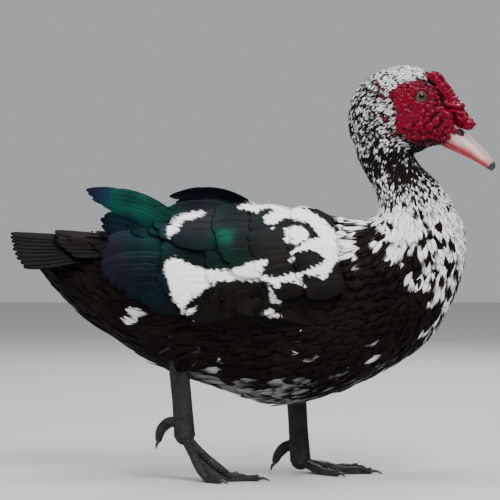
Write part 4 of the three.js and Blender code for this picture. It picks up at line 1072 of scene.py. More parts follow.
def sheen_finish():
    """The feather's finish, glossier like metal where the sheen shows."""
    made = down_finish("wing_feather", 0.5, 0.12)
    tree = made.node_tree
    gloss = tree.nodes.new("ShaderNodeAttribute")
    gloss.attribute_name = "gloss"
    share = tree.nodes.new("ShaderNodeMath")
    share.operation = "MULTIPLY"
    share.inputs[1].default_value = 0.45
    tree.links.new(gloss.outputs["Fac"], share.inputs[0])
    tree.links.new(share.outputs[0], tree.nodes["Principled BSDF"].inputs["Metallic"])
    return made


WING_TIERS = {
    # count, first and last root, line of tips, width, and heights at root and tip, in mm in the side
    # view, and the bow of the first and the last as shares of their length
    "lower_primaries": (4, ((-52, 242), (-58, 254)), ((-160, 282), (-171, 288), (-175, 295), (-168, 302)),
                        19, (0, 0), (-0.02, 0.03)),
    "upper_primaries": (5, ((-56, 260), (-62, 272)), ((-164, 311), (-175, 317), (-184, 323), (-189, 330)),
                        17, (1.2, 1.6), (0.05, 0.1)),
    "secondaries": (11, ((-30, 206), (-60, 266)), ((-117, 203), (-157, 225), (-170, 247), (-163, 269)),
                    26, (-3.4, 3.4), (-0.03, 0.03)),
    "greater_coverts": (12, ((-8, 201), (-38, 269)), ((-70, 191), (-98, 215), (-106, 240), (-100, 265)),
                        23, (-2.2, 4.2), (-0.03, 0.03)),
    "median_coverts": (12, ((46, 205), (16, 266)), ((-18, 195), (-40, 214), (-52, 238), (-52, 262)),
                       21, (-2.2, 3.6), (-0.03, 0.03)),
    "inner_feathers": (5, ((8, 277), (0, 303)), ((-92, 270), (-108, 282), (-110, 293), (-94, 304)),
                       24, (1.5, 7.0), (-0.02, 0.02)),
    "shoulder_rear": (10, ((40, 246), (30, 300)), ((-20, 240), (-36, 262), (-44, 282), (-40, 302)),
                      20, (0.8, 7.2), (-0.02, 0.02)),
    "shoulder_middle": (12, ((74, 226), (58, 300)), ((22, 212), (6, 238), (-4, 268), (-4, 301)),
                        18, (-0.8, 5.8), (-0.02, 0.02)),
    "shoulder_front": (13, ((106, 222), (92, 298)), ((62, 212), (50, 236), (42, 268), (46, 301)),
                       17, (-3.5, 4.6), (-0.02, 0.02)),
}
SIDE_FEATHERS = (
    # count, first and last root, first and last tip, width, heights
    (15, (100, 184), (-30, 170), (58, 200), (-76, 200), 20, (-14, 3.8)),
    (14, (92, 200), (-24, 188), (54, 219), (-66, 217), 20, (-9, 5.2)),
)
FAR_ARCH = ((34, 290), (10, 308), (-25, 321), (-62, 325), (-94, 322))  # x and z of the raised blades
FAR_TIPS = (-95, -88, -78)


def flank_colour(points, own, fringe):
    """Brown black with the flank's white, and no sheen."""
    dark = np.array(BLACK_DOWN) * (1.15, 1.05, 0.9) * (1.15 + 0.25 * own)[:, None]
    white = marked(points, own + fringe, 1.0, 0.7)[:, None]
    return dark + (np.array(WHITE_DOWN) - dark) * white, np.zeros(len(points))


def over_far_wing(x, v, height, step=0.0):
    """Puts a raised blade of the far wing on its arch over the back, in mm."""
    start, end = FAR_ARCH[0][0], FAR_ARCH[-1][0]
    share = np.clip((x - start) / (end - start), 0, 1)
    z = between_rows(FAR_ARCH, share * (len(FAR_ARCH) - 1))[..., 1]
    y = 60 - 26 * np.sqrt(share) + step - 0.4 * v + 0.9 * height
    return np.stack([x, y, z - step + 0.9 * v + 0.4 * height], axis=-1)


wing_feather = sheen_finish()
draw = np.random.default_rng(31)
for side, label in ((-1, "right"), (1, "left")):
    vanes = []
    for count, first_root, last_root, first_tip, last_tip, width, heights in SIDE_FEATHERS:
        for i in range(count):
            share = i / (count - 1)
            root = np.array(first_root) * (1 - share) + np.array(last_root) * share
            tip = np.array(first_tip) * (1 - share) + np.array(last_tip) * share
            low, high = heights
            lifted = (low, low + 5 + (high - low - 5) * min(share / 0.4, 1))
            vanes.append(
                vane(on_wing(side), root + draw.normal(size=2) * 1.2, tip + draw.normal(size=2) * 2.2,
                     width * draw.uniform(0.9, 1.1), lifted, draw, rows=22, columns=8, bend=0.02,
                     shingle=0.04)
            )
    plumes(f"side_feathers_{label}", vanes, flank_colour, down)
    vanes = []
    for tier, (count, roots, tips, width, heights, (bow_low, bow_high)) in WING_TIERS.items():
        place = on_wing(side, primary_face if "primaries" in tier else wing_face)
        for i in range(count):
            share = i / (count - 1)
            root = np.array(roots[0]) * (1 - share) + np.array(roots[1]) * share
            tip = between_rows(tips, share * (len(tips) - 1))
            root = root + draw.normal(size=2) * 0.8
            tip = tip + draw.normal(size=2) * 1.3
            vanes.append(
                vane(place, root, tip, width * draw.uniform(0.95, 1.05), heights, draw,
                     bend=bow_low + (bow_high - bow_low) * share, shingle=0.08, cup=0.02)
            )
    if side > 0:
        for i, far in enumerate(FAR_TIPS):
            vanes.append(
                vane(lambda a, b, c, step=8 * i: over_far_wing(a, b, c, step), (FAR_ARCH[0][0], 0),
                     (far, 0.01), 20, (0, 0), draw, shape=(0.3, 0.5, 0.1, 1.8))
            )
    wing = plumes(f"wing_feathers_{label}", vanes, wing_colour, wing_feather)
    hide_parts(f"wing_{label}")

# Back feathers. Broad soft vanes over the back between the wings. The outer rows rise to the wings'
# upper edges and run under them, and long inner ones reach back over the rump.
BACK_LINE = np.array([(row[0], i) for i, row in enumerate(TRUNK_RINGS[:10])], float).T
BACK_ROWS = (
    # count, first and last root x, distance from the middle, tip further back and out, width, heights
    (12, 104, -96, 6, (46, 4), 30, (-4, 3.0)),
    (12, 100, -84, 22, (48, 6), 28, (-3, 5.0)),
    (11, 96, -60, 38, (50, 5), 28, (-2, 8.0)),
    (9, 88, -40, 52, (54, 2), 26, (0, 10.5)),
    (4, -30, -62, 40, (76, -4), 26, (2, 12.5)),
    (3, -30, -60, 52, (84, -6), 24, (4, 14.5)),
)


def over_back(x, across, height):
    """Puts a blade over the back, where across is its distance from the middle, in mm."""
    t = np.interp(x, *BACK_LINE)
    return ring_points(TRUNK_RINGS, TRUNK_FULLNESS, t, across / 76, height * MM) / MM


def back_colour(points, own, fringe):
    """The body's black and white in front, and the wing's dark green towards the rump."""
    colour, gloss = wing_colour(points, own, fringe)
    dark = np.array(BLACK_DOWN) * (1.2 + 0.25 * own)[:, None] * (1.0, 1.05, 1.1)
    white = body_white(points, own)[:, None]
    share = smooth_share(-points[:, 0], 10 * MM, 50 * MM)[:, None]
    plain = dark + (np.array(WHITE_DOWN) - dark) * white
    return plain * (1 - share) + 0.6 * colour * share, gloss * share[:, 0]


vanes = []
for side in (-1, 1):
    for count, first, last, out, (back, further), width, heights in BACK_ROWS:
        for i in reversed(range(count)):
            x = first + (last - first) * i / (count - 1) + draw.normal() * 3
            root = (x, side * out + draw.normal() * 2)
            tip = (x - back * draw.uniform(0.85, 1.15), side * (out + further) + draw.normal() * 3.5)
            vanes.append(
                vane(over_back, root, tip, width, heights, draw, rows=20, columns=8,
                     shingle=-0.02 * side, cup=0.02)
            )
plumes("back_feathers", vanes, back_colour, wing_feather)

# Tail feathers. A tented fan of long brown-black vanes whose middle pair lies highest, with two
# rows of coverts over their roots. Each outer feather lies under the one inside it.
TAIL_RIDGE = ((-150, 277), (-279, 284), 0.42)  # its start and end, and how the fan slopes from it
TAIL_BROWN = (0.0035, 0.0027, 0.0023)
TAIL_ROWS = (
    # pairs, root x, root y first and last, tip x, tip y first and last, round, width, height, lift
    (9, -156, (2, 24), -276, (4, 60), 17, 22, -1.5, 0),
    (6, -138, (3, 24), -226, (6, 44), 20, 22, 1.2, 3),
    (5, -112, (3, 26), -186, (7, 42), 16, 22, 2.2, 3.4),
)


def over_tail(x, y, height):
    """Puts a blade on the fan's slope, in mm."""
    start, end, droop = TAIL_RIDGE
    ridge = start[1] + (end[1] - start[1]) * (x - start[0]) / (end[0] - start[0])
    return np.stack([x, y, ridge - droop * np.abs(y) ** 1.08 + height], axis=-1)


def tail_colour(points, own, fringe):
    """Brown black, with the pale mark over the tail's root."""
    shade = 1 + 0.2 * own + 0.15 * ripples(points, 12 * MM, 14)
    dark = np.array(TAIL_BROWN) * shade[:, None]
    white = marked(points, own + fringe, 0.8, 0.7)[:, None]
    return dark + (np.array(WHITE_DOWN) * 0.8 - dark) * white, np.zeros(len(points))


vanes = []
for pairs, root_x, root_y, tip_x, tip_y, round_by, width, low, lift in TAIL_ROWS:
    for side in (1, -1):
        for i in range(pairs):
            share = i / (pairs - 1)
            root = (root_x, side * (root_y[0] + (root_y[1] - root_y[0]) * share))
            out = side * (tip_y[0] + (tip_y[1] - tip_y[0]) * share)
            tip = (tip_x + round_by * share**2 + draw.normal() * 0.8, out + draw.normal() * 0.6)
            sink = -0.35 * i
            vanes.append(
                vane(over_tail, root, tip, width, (low + sink, low + lift + sink), draw,
                     shingle=0.08 * side, cup=0.03, shape=(0.35, 0.7, 0.2, 3.2))
            )
plumes("tail_feathers", vanes, tail_colour, down)

# Bare face. Crimson skin over the front of the head, crowded with nodules that grow into bulbs by
# the mouth, with folds and a knob over the bill and a ridge of lobes on each brow. All of it is
# melted together, and its edge lies under the feathers round it.
HEAD_X = np.arange(108, 262, 1.5)
HEAD_Z = np.arange(352, 482, 1.5)
HEAD_WIDTH = width_table(
    HEAD_RINGS, HEAD_FULLNESS, np.linspace(0, 9, 500), 0, HEAD_X, HEAD_Z, (0.97, 0.02)
)
EYE_AT = (201.5, 438.5)
FACE_RISE = 1.5  # how far the face stands off the head
FACE_SINK = -4.2  # how far it runs under the feathers past its outline
NODULES = ((162, 253), (380, 458), 9000)  # where they are tried, and how often
NODULE_SIZE = (1.45, 2.15)  # radius by the crown, and how much it grows towards the mouth
EYE_CLEAR = 9.4
EYE_FOLDS, EYE_BEADS, BROW_LOBES = 9, 20, 15
KNOB_AT, KNOB_SIZE = (250, 0, 405.5), (8.3, 7.6, 7.2)
BULBS = (
    # x, z and radius of the largest bulbs, over and behind the corner of the mouth
    (187, 404, 5.0), (199, 405, 5.4), (209.5, 403.5, 5.2), (217, 410, 5.4), (203, 420, 4.2),
    (229.5, 419, 4.6), (227, 429, 4.2), (176, 407, 3.2), (192, 416, 3.4), (213, 420, 3.4),
)
BROW = (
    # x, y, z and radius of the lobes' tops along the brow's ridge
    (210, 14, 466, 3.4), (217, 13.5, 464, 4.2), (224, 13, 456, 4.6), (231, 12, 447, 4.8),
    (238.5, 11, 436, 5.0), (246, 9.5, 425, 5.2),
)
FACE_FOLDS = (
    # x, distance from the middle, z, half length, width and height, and pitch
    (228, 17, 418, 10, 4.5, 4.6, 0.5), (231, 14.5, 408, 8, 5, 6.0, 0.9),
    (236, 12.5, 427, 10, 3.6, 2.6, 0.15), (240, 11, 420, 9, 4, 2.8, 0.35),
    (243, 9.5, 412, 7, 4.5, 3.0, 0.7), (222, 18.5, 425, 6, 3, 2.2, 0.1),
)
CHEEK_SPOTS = (
    # x, z and radius of lone nodules among the feathers behind the bare face
    (149, 452.5, 1.9), (152.5, 449.5, 1.6), (155, 439.5, 2.2), (158.5, 436.5, 1.7), (160, 411.5, 2.6),
    (163.5, 415, 1.8), (157, 416, 1.5), (170.5, 394, 1.8), (157.5, 446, 1.6),
)
THROAT_FOLDS = ((188, 386, 8), (200, 383.5, 9), (196, 390, 8), (209, 386, 6), (185, 391.5, 6))
BRIDGE_LUMPS = ((246, 429), (243, 424), (248, 421), (238, 436), (251, 415), (240, 430))
# Painted light on the face: its crimson runs from painted shade in the creases, through a middle tone, to
# painted highlights on the tops.
CRIMSON_SHADE_TO_LIGHT = ((0.011, 0.0, 0.001), (0.06, 0.0, 0.0045), (0.165, 0.0, 0.015))  # in creases to on top


def head_side(x, z):
    """How far from the middle the straight head's side is, in mm."""
    return looked_up(HEAD_WIDTH, HEAD_X, HEAD_Z, np.asarray(x, float), np.asarray(z, float))


def ball_pattern(detail):
    """Places and faces of a round ball of radius one."""
    work = bmesh.new()
    bmesh.ops.create_icosphere(work, subdivisions=detail, radius=1)
    places = np.array([v.co[:] for v in work.verts])
    faces = [tuple(v.index for v in f.verts) for f in work.faces]
    work.free()
    return places, faces


BALL = ball_pattern(3)


def head_ball(center, size, pitch=0.0):
    """A stretched ball on the head, turned about Y, in mm of the straight head."""
    places = BALL[0] * size
    x = places[:, 0] * math.cos(pitch) + places[:, 2] * math.sin(pitch)
    z = places[:, 2] * math.cos(pitch) - places[:, 0] * math.sin(pitch)
    placed = np.stack([x, places[:, 1], z], axis=1) + center
    return turned_head(placed * MM), BALL[1]


def on_head(side, x, z, proud=0.0):
    """A place in the side view, put on one side of the straight head, in mm."""
    return x, side * (float(head_side(x, z)) + proud), z


face_t, face_a = loft_grid(2.6, 9, 120, 160)
sheet_x, sheet_y, sheet_z = np.moveaxis(
    ring_points(HEAD_RINGS, HEAD_FULLNESS, face_t, -face_a) / MM, -1, 0
)
inside = to_outline(FACE_OUTLINE, sheet_x.ravel(), sheet_z.ravel()).reshape(face_t.shape)
inside = np.minimum(inside, np.maximum(np.abs(sheet_y) - 7.5, 436 - sheet_z))
face_grow = (FACE_SINK + 5.2 * smooth_share(inside, -1.2, 2.2)) * MM
face_parts = [closed_grid(head_points(face_t, -face_a, face_grow))]
draw = np.random.default_rng(41)
for side in (-1, 1):
    placed = [(x, z, r, 0.4, 1.1) for x, z, r in BULBS]
    across_x, across_z, count = NODULES
    tries = np.stack([draw.uniform(*across_x, count), draw.uniform(*across_z, count)], axis=1)
    smallest, growth = NODULE_SIZE
    radii = smallest + growth * smooth_share(tries[:, 0] - tries[:, 1], -275, -170)
    radii *= draw.uniform(0.75, 1.3, len(radii))
    usable = to_outline(FACE_OUTLINE, *tries.T) > 0.2
    usable &= np.hypot(*(tries - EYE_AT).T) > EYE_CLEAR + 0.4 * radii
    for (x, z), radius in zip(tries[usable].tolist(), radii[usable].tolist()):
        if all(math.hypot(p[0] - x, p[1] - z) > (p[2] + radius) * 0.8 for p in placed):
            placed.append((x, z, radius, draw.uniform(0, 3.1), 1 + 0.5 * draw.random()))
    for x, z, radius, pitch, tall in placed:
        center = on_head(side, x, z, FACE_RISE - 0.25 * radius)
        face_parts.append(head_ball(center, (radius, radius * 0.85, radius * tall), pitch))
    for k in range(EYE_FOLDS):
        angle = math.radians(-165 + 17 * k)
        x = EYE_AT[0] + 14.5 * math.cos(angle)
        z = EYE_AT[1] + 13.5 * math.sin(angle)
        center = on_head(side, x, z, FACE_RISE - 0.3)
        face_parts.append(head_ball(center, (5.2, 1.3, 1.5), -angle))
    for k in range(EYE_BEADS):
        angle = 2 * math.pi * k / EYE_BEADS
        x = EYE_AT[0] + 9.3 * math.cos(angle)
        z = EYE_AT[1] + 8.0 * math.sin(angle)
        face_parts.append(head_ball(on_head(side, x, z, FACE_RISE), (1.5, 1.0, 1.3)))
    for i in range(BROW_LOBES):
        share = i / (BROW_LOBES - 1) * (len(BROW) - 1)
        x, y, top, radius = between_rows(BROW, share)
        radius *= 0.52 * draw.uniform(0.85, 1.2)
        lean = 0.35 + 0.85 * share / (len(BROW) - 1)
        size = np.array((1.0, 0.9, 2.2)) * radius
        way = np.array((math.sin(lean), 0, math.cos(lean)))
        center = np.array((x, side * y, top)) - way * (size[2] + draw.uniform(0.6, 1.6))
        face_parts.append(head_ball(center, size, lean))
        for way in unit(draw.normal(size=(14, 3))):
            nodule = draw.uniform(0.9, 1.7)
            spot = center + way * (size - 0.4 * nodule)
            spot[2] = min(spot[2], 470.5 - nodule)
            face_parts.append(head_ball(spot, np.full(3, nodule)))
    for x, y, z, long, wide, high, pitch in FACE_FOLDS:
        face_parts.append(head_ball((x, side * y, z), (long, wide, high), pitch))
    for x, z, radius in CHEEK_SPOTS:
        face_parts.append(head_ball(on_head(side, x, z, -0.4), (radius * 1.2, 4.6, radius * 1.3)))
    for x, z, long in THROAT_FOLDS:
        face_parts.append(head_ball(on_head(side, x, z, 0.9), (long, 1.4, 1.2), 0.12))
face_parts.append(head_ball(KNOB_AT, KNOB_SIZE, 0.6))
face_parts.append(head_ball((239, 0, 414), (9.5, 10, 7.5), 0.6))
for spot in draw.normal(size=(26, 3)):
    spot = spot / np.linalg.norm(spot) * (7.4, 6.8, 6.4) + KNOB_AT
    face_parts.append(head_ball(spot, np.full(3, draw.uniform(1.4, 2.6))))
for x, z in BRIDGE_LUMPS:
    center = (x - 3, draw.uniform(-5, 5), z - 3)
    face_parts.append(head_ball(center, np.full(3, draw.uniform(3.4, 4.6))))
face = joined("bare_face", face_parts)
melted(face, 0.8, smoothing=2)
face_places = places_of(face.data)
head_tree = tree_of(head_shell.reshape(-1, 3))
proud = np.array([head_tree.find(p)[2] for p in face_places]) / MM
x, _, z = straight_head(face_places).T / MM
# The face's tone follows its height over the head. Low places get a painted shade in the creases, and the
# tops get a painted light. The face is also darker towards the throat and on the cheek spots behind.
redness_and_painted_light = smooth_share(proud, 2.6, 5.0) + 0.1 * ripples(face_places, 2 * MM, 16)
redness_and_painted_light -= 0.75 * smooth_share(392 - z, 0, 8) * smooth_share(236 - x, 0, 10)
redness_and_painted_light -= 0.45 * smooth_share(6 - np.abs(proud - 9), 0, 1) * (x < 170)
dark, middle, top_lit_crimson = (np.array(tone) for tone in CRIMSON_SHADE_TO_LIGHT)
share = np.clip(redness_and_painted_light, 0, 1)[:, None]
lower_half = dark + (middle - dark) * share * 2
upper_half = middle + (top_lit_crimson - middle) * (share * 2 - 1)
paint(face.data, np.where(share < 0.5, lower_half, upper_half))


def pores_and_creases(add):
    pores = add("ShaderNodeTexNoise", {"Scale": 1100.0, "Detail": 3.0}).outputs[0]
    creases = add("ShaderNodeTexVoronoi", {"Scale": 620.0}).outputs["Distance"]
    return add("ShaderNodeMath", {0: pores, 1: creases}, operation="ADD").outputs[0], 0.16, 0.0004


face_finish, face_shader = painted_finish("caruncles", pores_and_creases, 0.26, 0.1)
face_shader.inputs["Coat Weight"].default_value = 0.05
face_shader.inputs["Coat Roughness"].default_value = 0.15
face.data.materials.append(face_finish)
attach(face, "root")
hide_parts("face")

# Eyes. A clear wet ball with a round black pupil, an olive iris and a dark rim, set in the bare
# face and turned out along its slope. A thin ring of bare dull red lid hugs each ball.
EYE_RADIUS = 8.2
EYE_PROUD = 1.6
IRIS = (0.05, 0.044, 0.014)
LID_WIDE, LID_HIGH, LID_THICK = 6.4, 5.2, 0.66
LID_STEPS = (72, 14)
eye_finish, eye_shader, add, link = node_material("wet_eye")
link(add("ShaderNodeAttribute", attribute_name="plume").outputs["Color"], "Base Color")
eye_shader.inputs["Roughness"].default_value = 0.06
eye_shader.inputs["Specular IOR Level"].default_value = 0.2
eye_shader.inputs["Coat Weight"].default_value = 0.15
eye_shader.inputs["Coat Roughness"].default_value = 0.02
lid_finish, lid_shader, *_ = node_material("eyelid")
lid_shader.inputs["Base Color"].default_value = (0.1, 0.022, 0.022, 1)
lid_shader.inputs["Roughness"].default_value = 0.45
for side, label in ((-1, "right"), (1, "left")):
    x, z = EYE_AT
    slope_x = float(head_side(x + 6, z) - head_side(x - 6, z)) / 12
    slope_z = float(head_side(x, z + 6) - head_side(x, z - 6)) / 12
    gaze = unit(np.array((-slope_x, side, -slope_z)))
    center = np.array(on_head(side, x, z)) + gaze * (FACE_RISE + EYE_PROUD - EYE_RADIUS)
    across = unit(np.cross((0, 0, 1), gaze))
    over = np.cross(gaze, across)
    polar, turn = loft_grid(0.015, 3.12, 64, 80)
    ways = np.cos(polar)[..., None] * gaze + np.sin(polar)[..., None] * (
        np.cos(turn)[..., None] * across + np.sin(turn)[..., None] * over
    )
    cornea = EYE_RADIUS + 0.25 * np.exp(-((polar / 0.5) ** 2))
    globe = turned_head((center + cornea[..., None] * ways) * MM)
    ball = joined(f"eyeball_{label}", [closed_grid(globe)])
    turn_faces_out(ball.data)
    angle = np.concatenate([polar.ravel(), [0, math.pi]])
    round_it = np.concatenate([turn.ravel(), [0, 0]])
    pupil = smooth_share(angle, 0.36, 0.40)
    limbus = smooth_share(angle, 0.62, 0.72)
    streaks = 1 + 0.22 * np.sin(37 * round_it) * np.sin(11 * round_it + 2)
    streaks = streaks - 0.35 * smooth_share(0.46 - angle, 0, 0.08)
    iris = np.array(IRIS) * streaks[:, None]
    paint(ball.data, iris * pupil[:, None] * (1 - 0.93 * limbus[:, None]) + 0.002)
    ball.data.materials.append(eye_finish)
    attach(ball, "root")
    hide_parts(f"eye_{label}")
    around, ring = np.meshgrid(
        *(np.linspace(0, 2 * np.pi, steps, endpoint=False) for steps in LID_STEPS), indexing="ij"
    )
    level = side * LID_WIDE * np.cos(around)
    rise = LID_HIGH * np.sin(around) - 0.5 * np.cos(around)
    out = np.sqrt(EYE_RADIUS**2 - level**2 - rise**2)
    flat_way = level[..., None] * across * side + rise[..., None] * over
    line = flat_way + out[..., None] * gaze
    away = unit(line)
    beside = unit(flat_way - (flat_way * away).sum(-1, keepdims=True) * away)
    thick = LID_THICK + 0.08 * np.sin(9 * around) * np.sin(around)
    shape = away * np.sin(ring)[..., None] * 0.9 + beside * np.cos(ring)[..., None]
    lid = line + (shape + 0.25 * away) * thick[..., None]
    index = np.arange(around.size).reshape(LID_STEPS)
    beyond = np.roll(index, -1, 0)
    quads = np.stack([index, beyond, np.roll(beyond, -1, 1), np.roll(index, -1, 1)], axis=-1).reshape(-1, 4)
    lid_ring = joined(f"lid_{label}", [(turned_head((center + lid.reshape(-1, 3)) * MM), quads.tolist())])
    turn_faces_out(lid_ring.data)
    lid_ring.data.materials.append(lid_finish)
    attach(lid_ring, "root")

# Bill. Rosy skin over bone: a smooth upper half with slanting nostrils and a rolled edge, a lower
# half that closes under it, and a hard dark nail of horn at the tip. Each is a closed loft along
# the bill, and its root lies inside the bare face.
BILL_RINGS = (
    # back x and z, belly x and z, half width, and the mouth line's share of the height
    (237, 406, 218, 381.5, 14.2, 0.27),
    (249, 394, 233, 374.5, 13.6, 0.25),
    (261, 383, 250, 367, 13.4, 0.23),
    (273, 371, 264, 360, 13.6, 0.22),
    (280, 362, 273, 354.5, 11, 0.2),
    (281.5, 356, 277, 350.5, 5.5, 0.2),
)
NAIL_CUT = 4.05
LOWER_END = 4.3
LOWER_INSET = 1.1
MOUTH_GAP = 0.15
NOSTRIL = (242.5, 396, 5.6, 3.1, 0.66)  # x and z, half length and height, and pitch
FLESH, PALE_FLESH = (0.43, 0.155, 0.14), (0.49, 0.315, 0.28)
ROSE, LOWER_ROSE = (0.34, 0.035, 0.045), (0.38, 0.055, 0.06)
PALE_GREEN, NAIL_GREY = (0.34, 0.36, 0.31), (0.045, 0.06, 0.08)
MOUTH_LINE = ((218, 237, 254, 267, 275, 280), (388, 379.5, 371, 362.5, 356, 351.5))
GREEN_PATCH = (246, 384.5, 8, 5)


def bill_loft(upper, start, end, rings, grow=0.0, arc=56, floor_steps=12):
    """Half of the bill, from the mouth line over or under it and back along the mouth's floor."""
    t = np.linspace(start, end, rings)[:, None]
    s = np.linspace(0, 1, arc + 1)[None, :]
    back_x, back_z, belly_x, belly_z, half, mouth = np.moveaxis(between_rows(BILL_RINGS, t), -1, 0)
    line_x, line_z = belly_x + (back_x - belly_x) * mouth, belly_z + (back_z - belly_z) * mouth
    end_x, end_z = (back_x, back_z) if upper else (belly_x, belly_z)
    height = np.hypot(end_x - line_x, end_z - line_z)
    up_x, up_z = (end_x - line_x) / height, (end_z - line_z) / height
    width = (half if upper else half - LOWER_INSET) + grow
    lip = 0.45 * np.exp(-((np.minimum(s, 1 - s) / 0.05 - 1) ** 2)) if upper else 0 * s
    rise = np.sin(np.pi * s) ** 0.75 * (height + grow) + MOUTH_GAP
    y = np.cos(np.pi * s) * (width + lip) * (1 if upper else -1)
    low = np.full_like(t, MOUTH_GAP)
    back = np.linspace(1, 0, floor_steps + 2)[None, 1:-1]
    y_floor = y[:, -1:] * back + y[:, :1] * (1 - back)
    rise = np.concatenate([rise, low + 0 * back], axis=1)
    y = np.concatenate([y, y_floor], axis=1)
    return np.stack([line_x + up_x * rise, y, line_z + up_z * rise], axis=-1)


def bill_piece(name, points, colours, finish, node):
    """Turns a loft with the head, paints it, and has it take its solid's place."""
    made = joined(name, [closed_grid(turned_head(points * MM))])
    turn_faces_out(made.data)
    paint(made.data, colours(straight_head(places_of(made.data)) / MM))
    made.data.materials.append(finish)
    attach(made, "root")
    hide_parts(node)


def nostril_share(points):
    """Below one inside the nostril's oval, and above one outside it."""
    x, z, long, high, pitch = NOSTRIL
    u = (points[..., 0] - x) * math.cos(pitch) - (points[..., 2] - z) * math.sin(pitch)
    v = (points[..., 0] - x) * math.sin(pitch) + (points[..., 2] - z) * math.cos(pitch)
    return (u / long) ** 2 + (v / high) ** 2


def upper_colour(points):
    """Rose at the mouth's edge and root, pale above, a greenish patch, and nostrils dark with painted shade.
    """
    above = points[:, 2] - np.interp(points[:, 0], *MOUTH_LINE)
    flesh, pale, rose, green = (np.array(c) for c in (FLESH, PALE_FLESH, ROSE, PALE_GREEN))
    colour = flesh + (pale - flesh) * smooth_share(above, 4, 10)[:, None]
    edge = 1 - smooth_share(above + 0.8 * ripples(points * MM, 5 * MM, 17), 1.5, 5.5)
    colour = colour + (rose - colour) * edge[:, None]
    patch_x, patch_z, long, high = GREEN_PATCH
    spot = np.hypot((points[:, 0] - patch_x) / long, (points[:, 2] - patch_z) / high)
    colour = colour + (green - colour) * (0.8 * (1 - smooth_share(spot, 0.4, 1.25)))[:, None]
    root = 1 - smooth_share(points[:, 0] - 0.35 * (points[:, 2] - 380), 221, 233)
    colour = colour + (rose * 0.9 - colour) * root[:, None]
    colour = colour * (1 + 0.06 * ripples(points * MM, 4 * MM, 18))[:, None]
    # Painted shade: the nostrils' openings are painted almost black.
    nostril_shade = 1 - smooth_share(nostril_share(points), 0.75, 1.15)
    return colour * (1 - 0.985 * nostril_shade[:, None])


def lower_colour(points):
    """Rose, darker inside the mouth's corner."""
    rose = np.array(LOWER_ROSE) * (1 + 0.1 * ripples(points * MM, 5 * MM, 19))[:, None]
    return rose * (0.35 + 0.65 * smooth_share(points[:, 0], 222, 240))[:, None]


def nail_colour(points):
    """Slate blue horn, with painted light that makes it paler on top."""
    grey = np.array(NAIL_GREY)
    lit = smooth_share(points[:, 2] + 0.6 * (277 - points[:, 0]), 357, 366)[:, None]
    return grey * (0.55 + 1.1 * lit) * (1 + 0.1 * ripples(points * MM, 2 * MM, 20))[:, None]


def faint_grain(add):
    return add("ShaderNodeTexNoise", {"Scale": 700.0, "Detail": 4.0}).outputs[0], 0.2, 0.0002


bill_soft, _ = painted_finish("bill_skin", faint_grain, 0.38, 0.5)
bill_hard, _ = painted_finish("bill_horn", faint_grain, 0.3, 0.5)
upper = bill_loft(True, 0, NAIL_CUT, 130)
oval = nostril_share(upper)
on_the_side = np.abs(upper[..., 1]) > 6
dent = -2.6 * (1 - smooth_share(oval, 0.35, 1.2)) + 0.45 * np.exp(-(((oval - 1.55) / 0.5) ** 2))
upper[..., 1] += np.sign(upper[..., 1]) * dent * on_the_side
bill_piece("upper_bill", upper, upper_colour, bill_soft, "bill_upper")
lower = bill_loft(False, 0, LOWER_END, 100)
bill_piece("lower_bill", lower, lower_colour, bill_soft, "bill_lower")
nail = bill_loft(True, NAIL_CUT - 0.12, 5, 40, grow=0.25)
bill_piece("nail", nail, nail_colour, bill_hard, "bill_nail")

# Legs. Bare slate skin from the hock down: a flattened shank, three long toes joined by webs, and a
# lobed hind toe. Each leg is one melted skin that runs up into the thigh's feathers, with creases
# between thin horny scales that lie down the leg. The claws are tubes of horn on the toes' ends.
LEGS = {
    "right": {
        "hip": (-52, -44, 176), "hock": (-82, -49, 129), "ankle": (-76, -51, 50),
        "toes": {"inner": (-16, -24), "middle": (8, -62), "outer": (-36, -90)},
        "hallux": ((-78, -50, 66), (-93, -48, 66), (-103, -47, 57), (-106, -46, 44)),
    },
    "left": {
        "hip": (30, 44, 158), "hock": (52, 42, 88), "ankle": (57, 40, 13),
        "toes": {"inner": (99, -8), "middle": (139, 22), "outer": (124, 76)},
        "hallux": ((57, 41, 33), (42, 42, 31), (32, 43, 22), (27, 43, 11)),
    },
}
SHANK_RADIUS = 11.2
SHANK_SQUASH = 0.64
TOE_RADIUS = 5.1
WEB_THICKNESS = 2.0
SCALE_SPACING = 2.5
SCALE_LIFT = 0.09
CREASE_DEPTH = 0.28
SLATE = (0.0155, 0.015, 0.0148)
CLAW_HORN = (0.035, 0.033, 0.032)


def swept(path, radius, squash=1.0, rings=40, sides=24, side_way=(0, 1, 0)):
    """A tube along a curve through points. radius is a function of the share along it, in mm."""
    share = np.linspace(0, 1, rings)
    line = between_rows(path, share * (len(path) - 1))
    along = unit(np.gradient(line, axis=0))
    side = unit(np.cross(along, np.cross(side_way, along)))
    other = np.cross(along, side)
    angle = np.linspace(0, 2 * np.pi, sides, endpoint=False)[None, :, None]
    wide = np.array([radius(t) for t in share])[:, None, None]
    return line[:, None] + wide * (np.cos(angle) * side[:, None] * squash + np.sin(angle) * other[:, None])


def toe_path(leg, name):
    """A toe's line from the ankle, down to the floor and along it, in mm."""
    ankle, tip = np.array(leg["ankle"], float), np.array(leg["toes"][name], float)
    low = TOE_RADIUS * 0.84
    lifted = ankle[2] > 30
    rows = []
    for share in (0, 0.33, 0.62, 0.8, 1):
        fall = max(1 - share / 0.66, 0) ** 1.25 if lifted else max(1 - share / 0.6, 0)
        place = ankle[:2] + (tip - ankle[:2]) * share
        rows.append((*place, low * (1 - 0.2 * share) + (ankle[2] - low) * fall))
    return rows


def toe_radius(t):
    """A toe's half thickness, which narrows and swells at its joints."""
    return TOE_RADIUS * (1.16 - 0.36 * t) + 0.45 * math.cos(t * 6 * math.pi)


